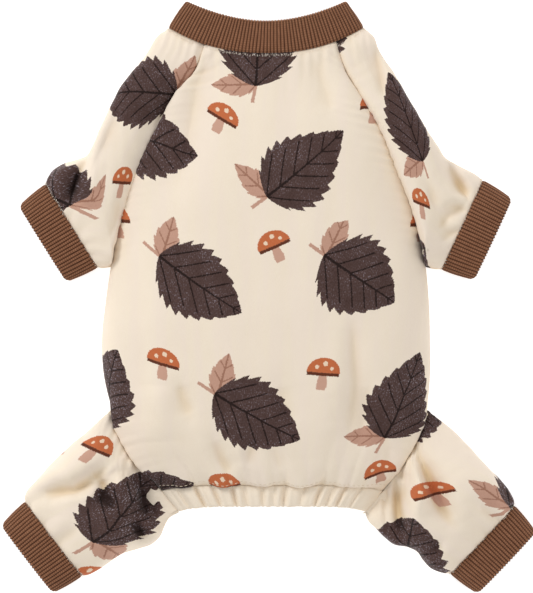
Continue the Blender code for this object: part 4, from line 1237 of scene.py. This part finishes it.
def limb_relief(kind, grid, seed, closed_from):
    """Fine folds of a sleeve or leg: the part along its normals, and the upright dip at its seams."""
    over, down = arc(grid, 1), arc(grid, 0)
    to_cuff, girth = down[-1:] - down, over[:, -1:]
    height = sum(a * uneven(over, down, seed + k, size) for k, (a, size) in enumerate(LIMB_UNEVEN))
    height *= clear_of(down, ROOT_CALM) * clear_of(to_cuff, CUFF_CALM)
    height += gathers(over / girth, girth, to_cuff, seed + 2, GATHER_COUNT, GATHER_DEPTH, GATHER_REACH)
    height += puckers(over, down, seed + 3) + CUFF_HUMP * hump(to_cuff, CUFF_REACH)
    dip = seam_dip(down, *ROOT_DIP[kind]) + seam_dip(to_cuff, CUFF_DIP)
    if closed_from:
        past = np.arange(len(grid))[:, None] - closed_from
        sewn = np.where(past < 0, 1.0, np.exp(-np.maximum(past, 0) / SEWN_ROWS_FADE))
        dip += sewn * seam_dip(over, *UNDER_DIP)
        height += sewn * puckers(down, over, seed + 4)
    return height, dip


def limb_print(plain, limb, start):
    """Each point's place on the flat cloth: along the limb, and round it without the small folds."""
    flatter = plain.copy()
    flatter[..., 2] = smoothed(plain[..., 2], PRINT_SMOOTHING)
    round_it = arc(flatter, 1)
    way = (limb.upper + limb.lower) / 2 - limb.root
    along = (plain[..., :2] - limb.root) @ (way / np.linalg.norm(way))
    return np.stack([round_it - round_it[:, -1:] / 4 + start[0], start[1] - along], -1)


def limb_piece(kind, name, limb, halves, closed_from):
    grid = []
    for k, (high, low) in enumerate(zip(*halves)):
        loop = np.vstack([high, low[::-1][1:]])
        grid.append(resample(loop, LIMB_COLUMNS_COUNT + 1, SEAM_GAP / 2 if k < closed_from else 0))
    plain = np.array(grid)
    pull_in(plain)
    upper = np.clip(plain[..., 2] / EDGE_HEIGHT - 0.4, 0, 1)
    height, dip = limb_relief(kind, plain, sum(map(ord, kind + name)), closed_from)
    normal = normals_of(plain, closed_from) * -limb.side
    grid = plain + normal * (height * (0.2 + 0.8 * upper))[..., None]
    grid[..., 2] += dip * upper
    fringe_edge(grid[-2], grid[-1] - grid[-4])
    if kind == "sleeve":
        fringe_edge(grid[1], grid[0] - grid[3])
    cloth = limb_print(plain, limb, CLOTH_START[f"{kind}_{name}"])
    if limb.side > 0:
        grid, cloth, plain = grid[:, ::-1], cloth[:, ::-1], plain[:, ::-1]
    piece = cloth_wall(f"{kind}_cloth_{name}", grid, FLEECE_WALL, cloth, closed_from)
    hand_over(piece, f"{kind}_{name}")


for name in SLEEVES:
    limb_piece("sleeve", name, sleeve_limb(name), *sleeve_grid(name, 56, 26))
    limb_piece("leg", name, leg_limb(name), *leg_grid(name, 84))

# %% [markdown]
# A band of rib knit is one strip folded double, with its fold at the free edge. Its section goes up the
# outer side, round the fold and down the inner side, and the grid is that section carried round the
# ring. The ridges are added by Geometry Nodes: a modifier pushes every point out along its normal by a
# rounded wave of its share of the way round, and keeps the wave as an attribute for the colour.

# %% Geometry Nodes for the ribs
def new_tree(name, sizes):
    """A Geometry Nodes tree, the identifier of each of its inputs, and the node that gives them.

    Its inputs are a geometry, the named sizes, each with its kind of socket, and a material.
    """
    tree = bpy.data.node_groups.new(name, "GeometryNodeTree")
    tree.interface.new_socket(name="Geometry", in_out="OUTPUT", socket_type="NodeSocketGeometry")
    keys = {}
    for label, kind in (("Geometry", "Geometry"), *sizes, ("Material", "Material")):
        socket = tree.interface.new_socket(name=label, in_out="INPUT", socket_type=f"NodeSocket{kind}")
        keys[label] = socket.identifier
    return tree, keys, node(tree, "NodeGroupInput")


def end_tree(tree, given, geometry):
    """Realizes the instances, sets the material and hands the geometry out."""
    real = result(tree, "GeometryNodeRealizeInstances", {"Geometry": geometry})
    material = out(tree, given, "Material")
    dressed = result(tree, "GeometryNodeSetMaterial", {"Geometry": real, "Material": material})
    node(tree, "NodeGroupOutput", {0: dressed})


def named(tree, name, kind="FLOAT"):
    return result(tree, "GeometryNodeInputNamedAttribute", {"Name": name}, data_type=kind)


def rib_tree():
    tree, keys, given = new_tree("rib knit", (("Ribs", "Float"), ("Rib height", "Float")))
    phase = (named(tree, "around") * out(tree, given, "Ribs")).part() * math.pi
    wave = phase.sine().most(0.0) ** 0.85
    push = wave * named(tree, "ribbed") * out(tree, given, "Rib height")
    normal = result(tree, "GeometryNodeInputNormal")
    offset = result(tree, "ShaderNodeVectorMath", {0: normal, "Scale": push}, operation="SCALE")
    band = out(tree, given, "Geometry")
    moved = result(tree, "GeometryNodeSetPosition", {"Geometry": band, "Offset": offset})
    facts = {"Geometry": moved, "Name": "rib_height", "Value": wave}
    marked = result(tree, "GeometryNodeStoreNamedAttribute", facts, data_type="FLOAT", domain="POINT")
    end_tree(tree, given, marked)
    return tree, keys


RIB_TREE, RIB_KEYS = rib_tree()


def apply_nodes(piece, tree, keys, values):
    """Runs a Geometry Nodes tree on the piece and keeps the result as its plain mesh."""
    modifier = piece.modifiers.new("nodes", "NODES")
    modifier.node_group = tree
    for label, value in values.items():
        modifier[keys[label]] = value
    graph = bpy.context.evaluated_depsgraph_get()
    seen = piece.evaluated_get(graph)
    mesh = bpy.data.meshes.new_from_object(seen, preserve_all_data_layers=True, depsgraph=graph)
    piece.modifiers.remove(modifier)
    old, piece.data = piece.data, mesh
    bpy.data.meshes.remove(old)
    mesh.name = piece.name

# %% [markdown]
# The section needs few sizes: the band's height, its wall, which also rounds the fold, and how much the
# knit bulges between seam and fold. Real ribs don't run quite straight, so each sways a little.

# %% A band from its section
RIB_HEIGHT, RIB_COLUMNS, BAND_BULGE, BAND_CLEAR = 0.00075, 8, 0.0004, 0.0007
OUTER_ROWS, FOLD_ROWS, INNER_ROWS, FOLD_SHARE = 13, 7, 9, 0.1
RIB_SWAY, RIB_SEED, SWAY_WAVES, SEAM_SHARE, INNER_END = 0.028, 5, 6, 0.06, 1.9


def band_grid(near, far, wall):
    """Rows from the seam up the outer side, round the fold at the free edge and back inside.

    The rows' places run from 0 at the seam to 1 at the fold, and on to 2.1 at the inner seam.
    """
    middle = (near + far) / 2
    slope = far - near
    height = np.linalg.norm(slope, axis=1, keepdims=True)
    slope = slope / height
    tangent = np.roll(middle, -1, axis=0) - np.roll(middle, 1, axis=0)
    normal = np.cross(slope, tangent)
    normal /= np.linalg.norm(normal, axis=1, keepdims=True)
    if np.einsum("ij,ij->i", normal, middle - middle.mean(axis=0)).mean() < 0:
        normal = -normal
    radius = wall / 2
    rows, places = [], []
    for s in np.linspace(0, 1, OUTER_ROWS):
        rows.append(near + slope * (s * (height - radius)) + normal * BAND_BULGE * math.sin(math.pi * s))
        places.append(s)
    for turn in np.linspace(0, math.pi, FOLD_ROWS + 2)[1:-1]:
        up, back = height - radius + radius * math.sin(turn), radius * (1 - math.cos(turn))
        rows.append(near + slope * up - normal * back)
        places.append(1 + FOLD_SHARE * turn / math.pi)
    for s in np.linspace(1, 0, INNER_ROWS):
        depth = BAND_BULGE * math.sin(math.pi * s) - wall
        rows.append(near + slope * (s * (height - radius)) + normal * depth)
        places.append(1 + FOLD_SHARE + (1 - s))
    return np.array(rows), np.array(places)


def ring_mesh(name, grid, u, v):
    """A closed tube from a grid that wraps both ways. u and v are its places on the flat cloth."""
    index = np.arange(grid[..., 0].size).reshape(grid.shape[:2])
    after, below = np.roll(index, -1, axis=1), np.roll(index, -1, axis=0)
    faces = np.stack([index, after, np.roll(after, -1, axis=0), below], -1)
    mesh = bpy.data.meshes.new(name)
    mesh.from_pydata(grid.reshape(-1, 3).tolist(), [], faces.reshape(-1, 4).tolist())
    corner_u = np.stack([u[:-1], u[1:], u[1:], u[:-1]], -1)
    corner_v = np.stack([v[:-1], v[:-1], v[1:], v[1:]], -1)
    lay_flat(mesh, np.stack(np.broadcast_arrays(corner_u[None], corner_v[:, None]), -1))
    mesh.shade_smooth()
    mesh.update()
    if sum(face.center.dot(face.normal) * face.area for face in mesh.polygons) < 0:
        mesh.flip_normals()
    return mesh


def swaying(places, columns, ribs):
    """Each point's share of the way round, off by a small part of a rib."""
    around = np.arange(columns) / columns
    rng = np.random.default_rng(RIB_SEED)
    sway = sum(
        np.sin(2 * math.pi * around * count + places[:, None] * rng.uniform(1.0, 3.5) + rng.uniform(0, 6.3))
        for count in rng.integers(4, 26, SWAY_WAVES)
    )
    return around + RIB_SWAY / ribs * sway


def band_piece(name, node_name, near, far):
    """A rib-knit band between two closed rings of points, each without its repeated last point."""
    ribs = round(np.linalg.norm(np.roll(near, -1, axis=0) - near, axis=1).sum() / RIB_PITCH)
    columns = ribs * RIB_COLUMNS
    rings = [resample(np.vstack([ring, ring[:1]]), columns + 1)[:-1] for ring in (near, far)]
    grid, places = band_grid(*rings, RIB_WALL)
    grid[..., 2] = np.maximum(grid[..., 2], BAND_CLEAR)
    step = grid[1] - grid[0]
    grid[0] += step / np.linalg.norm(step, axis=1, keepdims=True) * SEAM_GAP / 2
    height = np.linalg.norm(far - near, axis=1).mean()
    u = np.arange(columns + 1) * (RIB_PITCH / RIB_COLUMNS)
    mesh = ring_mesh(name, grid, u, np.append(places, places[-1] + FOLD_SHARE) * height)
    ribbed = np.clip(places / SEAM_SHARE, 0.25, 1) * np.where(places > INNER_END, 0.2, 1.0)
    mark(mesh, "around", swaying(places, columns, ribs))
    mark(mesh, "ribbed", np.repeat(ribbed, columns))
    piece = show(name, mesh)
    sizes = {"Ribs": float(ribs), "Rib height": RIB_HEIGHT, "Material": RIB}
    apply_nodes(piece, RIB_TREE, RIB_KEYS, sizes)
    hand_over(piece, node_name)
    print("ribs:", ribs)


def ring_of(row_of, dense=240):
    """Closed ring from a row function of (t, upper), upper side first, without repeated points."""
    t = -np.cos(np.linspace(0, math.pi, dense))
    return np.vstack([row_of(t, True), row_of(t, False)[::-1][1:-1]])

# %% Cuffs
CORNER_ROUND, CORNER_SHARE = 0.0015, 0.08


def rounded_end(limb, t, upper):
    """The free edge of a cuff, drawn back at its two folds so that its corners are round."""
    row = limb.cuff_row(t, upper, True)
    back = CORNER_ROUND * np.clip((np.abs(t) - 1 + CORNER_SHARE) / CORNER_SHARE, 0, 1) ** 2
    row[:, :2] -= back[:, None] * limb.axis
    return row


for kind, limb_of in (("sleeve", sleeve_limb), ("leg", leg_limb)):
    for name in SLEEVES:
        limb = limb_of(name)
        near = ring_of(lambda t, up: limb.cuff_row(t, up, False))
        far = ring_of(lambda t, up: rounded_end(limb, t, up))
        band_piece(f"{kind}_rib_{name}", f"{kind}_cuff_{name}", near, far)

# %% [markdown]
# The collar is the same band on the neck's ring. Its mouth is narrower than its seam, as elastic knit
# pulls together when nobody wears it.

# %% Collar
band_piece("collar_rib", "collar_band", ring_of(neck_row), ring_of(mouth_row))

# %% [markdown]
# The hem is a casing with elastic in it. The elastic shortens the cloth, which throws it into pleats
# that are deep in the casing's middle and shallower at the seam. Its section turns under at the free
# edge, as the bands' does.

# %% Hem casing
HEM_COLUMNS, HEM_UNDER_COLUMNS, HEM_DENSE, CASING_LAYERS = 420, 120, 400, 1.6
PLEAT_DEPTH, SCALLOP, UNDER_WAVE, UNDER_RATE = 0.0026, 0.0007, 0.15, 0.35
HEM_PRINT_ASIDE, HEM_CLOTH_END = 0.09, 0.40
PLEAT_PROFILE = ((0, 0.5), (0.15, 0.75), (0.5, 1), (0.9, 0.9), (1.05, 0.8), (1.5, 0.6), (2.1, 0.2))
SCALLOP_PROFILE = ((0, 0), (0.6, 0.3), (1.0, 1), (1.1, 1), (1.6, 0))


def hem_casing():
    t = -np.cos(np.linspace(0, math.pi, HEM_DENSE))
    sides = []
    for upper, columns, crowd in ((True, HEM_COLUMNS, 0), (False, HEM_UNDER_COLUMNS, PANEL_CROWD)):
        sides.append([resample(hem_row(t, upper, free), columns + 1, 0, crowd) for free in (False, True)])
    near, far = (np.vstack([high, low[::-1][1:-1]]) for high, low in zip(*sides))
    grid, places = band_grid(near, far, FLEECE_WALL * CASING_LAYERS)
    count = np.arange(len(near))
    top = count <= HEM_COLUMNS
    under = UNDER_WAVE * np.cos(count * UNDER_RATE)
    wave = np.where(top, hem_wave(np.minimum(count / HEM_COLUMNS, 1)), under)
    pleats = wave * np.interp(places, *zip(*PLEAT_PROFILE))[:, None]
    lift = pleats * PLEAT_DEPTH
    lift[0] = np.where(top, wave * HEM_RIPPLE, lift[0])
    grid[..., 2] = np.maximum(grid[..., 2] + lift, BAND_CLEAR)
    grid[..., 1] -= np.abs(wave) * np.interp(places, *zip(*SCALLOP_PROFILE))[:, None] * SCALLOP
    u = np.append(arc(grid, 1)[3], HEM_CLOTH_END) - HEM_PRINT_ASIDE
    v = -np.append(places, places[-1] + FOLD_SHARE) * HEM_HEIGHT - BODY_LENGTH
    mesh = ring_mesh("hem_casing", grid, u, v)
    mark(mesh, "inside", np.ones(grid.shape[:2]))
    # Painted shade in the valleys of the pleats.
    mark(mesh, "shade_in_hollows", np.clip(-1.2 * pleats, 0, 1))
    mark(mesh, "lean", np.zeros(grid.shape[:2]))
    mesh.materials.append(FLEECE)
    hand_over(show("hem_casing", mesh), "hem_band")


hem_casing()

# %% [markdown]
# Two fine details sit on the seams. The hem is topstitched: short beads of thread in a row, a few
# millimetres above its seam. And where fleece is cut and sewn to smooth knit, its pile sticks out past
# the seam as a pale fringe. Both are small meshes repeated along a row of points, which is the work
# of Geometry Nodes: the row becomes a curve, the curve becomes points, and each point gets its copy.

# %% Small things repeated along a row
LENGTHS = ("Pitch", "Length", "Thickness", "Scatter")
REPEAT_SIZES = [(label, "Float") for label in LENGTHS] + [("Seed", "Int")]


def row_object(name, rows):
    """An object with one line of edges for each row, and the attribute way on its points."""
    points = np.vstack([row for row, _ in rows])
    ends = np.cumsum([len(row) for row, _ in rows])
    edges = [(k, k + 1) for k in range(len(points) - 1) if k + 1 not in ends]
    mesh = bpy.data.meshes.new(name)
    mesh.from_pydata(points.tolist(), edges, [])
    ways = np.vstack([way for _, way in rows]).astype(np.float32)
    mesh.attributes.new("way", "FLOAT_VECTOR", "POINT").data.foreach_set("vector", ways.ravel())
    return show(name, mesh)


def repeat_tree(name, shape_of, wander):
    """Copies a small shape along the rows. Its Z axis follows way, off by wander at random."""
    tree, keys, given = new_tree(name, REPEAT_SIZES)
    line, pitch, length, thickness, scatter, seed = (out(tree, given, k) for k in range(6))
    curve = result(tree, "GeometryNodeMeshToCurve", {"Mesh": line})
    points = result(tree, "GeometryNodeCurveToPoints", {"Curve": curve, "Length": pitch}, mode="LENGTH")

    def spread(size, offset):
        """A random vector for each point, with no part of it larger than size."""
        ranges = {0: (-size,) * 3, 1: (size,) * 3, "Seed": seed + offset}
        return result(tree, "FunctionNodeRandomValue", ranges, data_type="FLOAT_VECTOR")

    strays = {0: spread(1.0, 3.0), "Scale": scatter}
    apart = result(tree, "ShaderNodeVectorMath", strays, operation="SCALE")
    moved = result(tree, "GeometryNodeSetPosition", {"Geometry": points, "Offset": apart})
    ways = {0: named(tree, "way", "FLOAT_VECTOR"), 1: spread(wander, 0.0)}
    aim = result(tree, "ShaderNodeVectorMath", ways, operation="ADD")
    turned = result(tree, "FunctionNodeAlignRotationToVector", {"Vector": aim}, axis="Z")
    least, most = 1.0 - 0.5 * min(wander, 1.0), 1.0 + 0.4 * min(wander, 1.0)
    size = result(tree, "FunctionNodeRandomValue", {"Min": least, "Max": most}, 1)
    copies = {
        "Points": moved, "Instance": shape_of(tree, length, thickness), "Rotation": turned, "Scale": size,
    }
    end_tree(tree, given, result(tree, "GeometryNodeInstanceOnPoints", copies))
    return tree, keys


def repeated(name, rows, shape_of, wander, values):
    """Copies of a small shape along the rows, as one piece."""
    piece = row_object(name, rows)
    apply_nodes(piece, *repeat_tree(name, shape_of, wander), values)
    return piece


def tuft_shape(tree, length, thickness):
    sizes = {"Vertices": 4, "Radius Bottom": thickness, "Depth": length}
    return result(tree, "GeometryNodeMeshCone", sizes)


def stitch_shape(tree, length, thickness):
    bead = result(tree, "GeometryNodeMeshUVSphere", {"Segments": 6, "Rings": 5, "Radius": 1.0})
    size = result(tree, "ShaderNodeCombineXYZ", {0: thickness, 1: thickness, 2: length})
    return result(tree, "GeometryNodeTransform", {"Geometry": bead, "Scale": size})


def pale_thread(name, low, high):
    """Plain cream with soft unevenness, for thread and loose pile."""
    material, tree, shader = new_material(name)
    place = result(tree, "ShaderNodeTexCoord", None, "Object")
    colour = blend(tree, streaks(tree, place, (0.002, 0.002), 5.0), low, high)
    plug_in(tree, shader, {"Base Color": colour, "Roughness": 0.9, "Specular IOR Level": 0.15})
    return material

# %% Hem stitches and the fringe at the seams
STITCH_PITCH, STITCH_LENGTH, THREAD, STITCH_ABOVE, STITCH_FREE = 0.0031, 0.0020, 0.00042, 0.0036, 8
TUFT_PITCH, TUFT_LENGTH, TUFT_THICKNESS, TUFT_SCATTER, TUFT_WANDER = 0.00030, 0.0015, 0.00013, 0.0006, 0.75
THREAD_SHADE, THREAD_CREAM, PILE_PALE = (0.62, 0.50, 0.36), (0.80, 0.70, 0.56), (0.93, 0.87, 0.79)


def hem_stitches():
    from_seam = arc(BACK_GRID, 0)[:, BACK_COLUMNS // 2]
    row = BACK_GRID[int(np.searchsorted(from_seam, STITCH_ABOVE))][STITCH_FREE:-STITCH_FREE]
    values = {
        "Pitch": STITCH_PITCH, "Length": STITCH_LENGTH / 2, "Thickness": THREAD / 2, "Scatter": 0.0,
        "Seed": 1, "Material": pale_thread("cream_thread", THREAD_SHADE, THREAD_CREAM),
    }
    return repeated("hem_stitches", [(row, np.gradient(row, axis=0))], stitch_shape, 0.0, values)


def pile_fringe():
    values = {
        "Pitch": TUFT_PITCH, "Length": TUFT_LENGTH, "Thickness": TUFT_THICKNESS, "Scatter": TUFT_SCATTER,
        "Seed": 4, "Material": pale_thread("loose_pile", CREAM_SHADE, PILE_PALE),
    }
    return repeated("pile_fringe", FRINGE_EDGES, tuft_shape, TUFT_WANDER, values)


SEAM_DETAILS = [hem_stitches(), pile_fringe()]
for piece in SEAM_DETAILS:
    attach(piece, BODY)
    print(f"{piece.name}: {len(piece.data.polygons)} faces")
hand_over(BACK_CLOTH, "back_panel")

# %% [markdown]
# The floor, lights and camera make the picture. The floor and the light around are nearly white, so
# that shadows are soft and pale. One large lamp high on the left gives the folds a lit and a shaded
# side. The camera looks straight down.

# %% Floor
FLOOR_HALF, FLOOR_TOP = 3.0, -0.0002


def plain_floor():
    mesh = bpy.data.meshes.new("floor")
    corners = ((-1, -1), (1, -1), (1, 1), (-1, 1))
    points = [(x * FLOOR_HALF, y * FLOOR_HALF, FLOOR_TOP) for x, y in corners]
    mesh.from_pydata(points, [], [(0, 1, 2, 3)])
    material, tree, shader = new_material("pale_floor")
    plug_in(tree, shader, {
        "Base Color": (0.93, 0.93, 0.93, 1), "Roughness": 0.9, "Specular IOR Level": 0.1,
        "Emission Color": (1, 1, 1, 1), "Emission Strength": 0.55,
    })
    mesh.materials.append(material)
    floor = show("floor", mesh)


plain_floor()

# %% Lights
KEY_LAMP, FILL_LAMP = ((-2.4, 2.2, 1.9), 1.4, 58.0), ((1.3, -0.4, 1.6), 1.8, 6.0)
STUDIO_LIGHT = 0.68


def soft_lamp(name, place, size, power):
    """A round lamp that shines at the suit's middle."""
    data = bpy.data.lights.new(name, "AREA")
    data.shape, data.size, data.energy = "DISK", size, power
    lamp = show(name, data)
    lamp.location = place
    lamp.rotation_euler = (-Vector(place)).to_track_quat("-Z", "Y").to_euler()


soft_lamp("key_lamp", *KEY_LAMP)
soft_lamp("fill_lamp", *FILL_LAMP)
world = bpy.data.worlds.new("studio")
bpy.context.scene.world = world
world.use_nodes = True
studio = world.node_tree.nodes["Background"]
studio.inputs["Color"].default_value = (1.0, 1.0, 1.0, 1.0)
studio.inputs["Strength"].default_value = STUDIO_LIGHT
bpy.context.scene.view_settings.view_transform = "Standard"

# %% Camera
VIEW_HEIGHT, VIEW_DISTANCE, VIEW_CENTRE, SENSOR = 0.3795, 2.4, (-0.0014, 0.0006), 24.0
camera = show("camera", bpy.data.cameras.new("camera"))
camera.data.sensor_fit = "VERTICAL"
camera.data.sensor_height = SENSOR
camera.data.lens = SENSOR * VIEW_DISTANCE / VIEW_HEIGHT
camera.location = (*VIEW_CENTRE, VIEW_DISTANCE + EDGE_HEIGHT)
camera.rotation_euler = (0, 0, 0)
bpy.context.scene.camera = camera
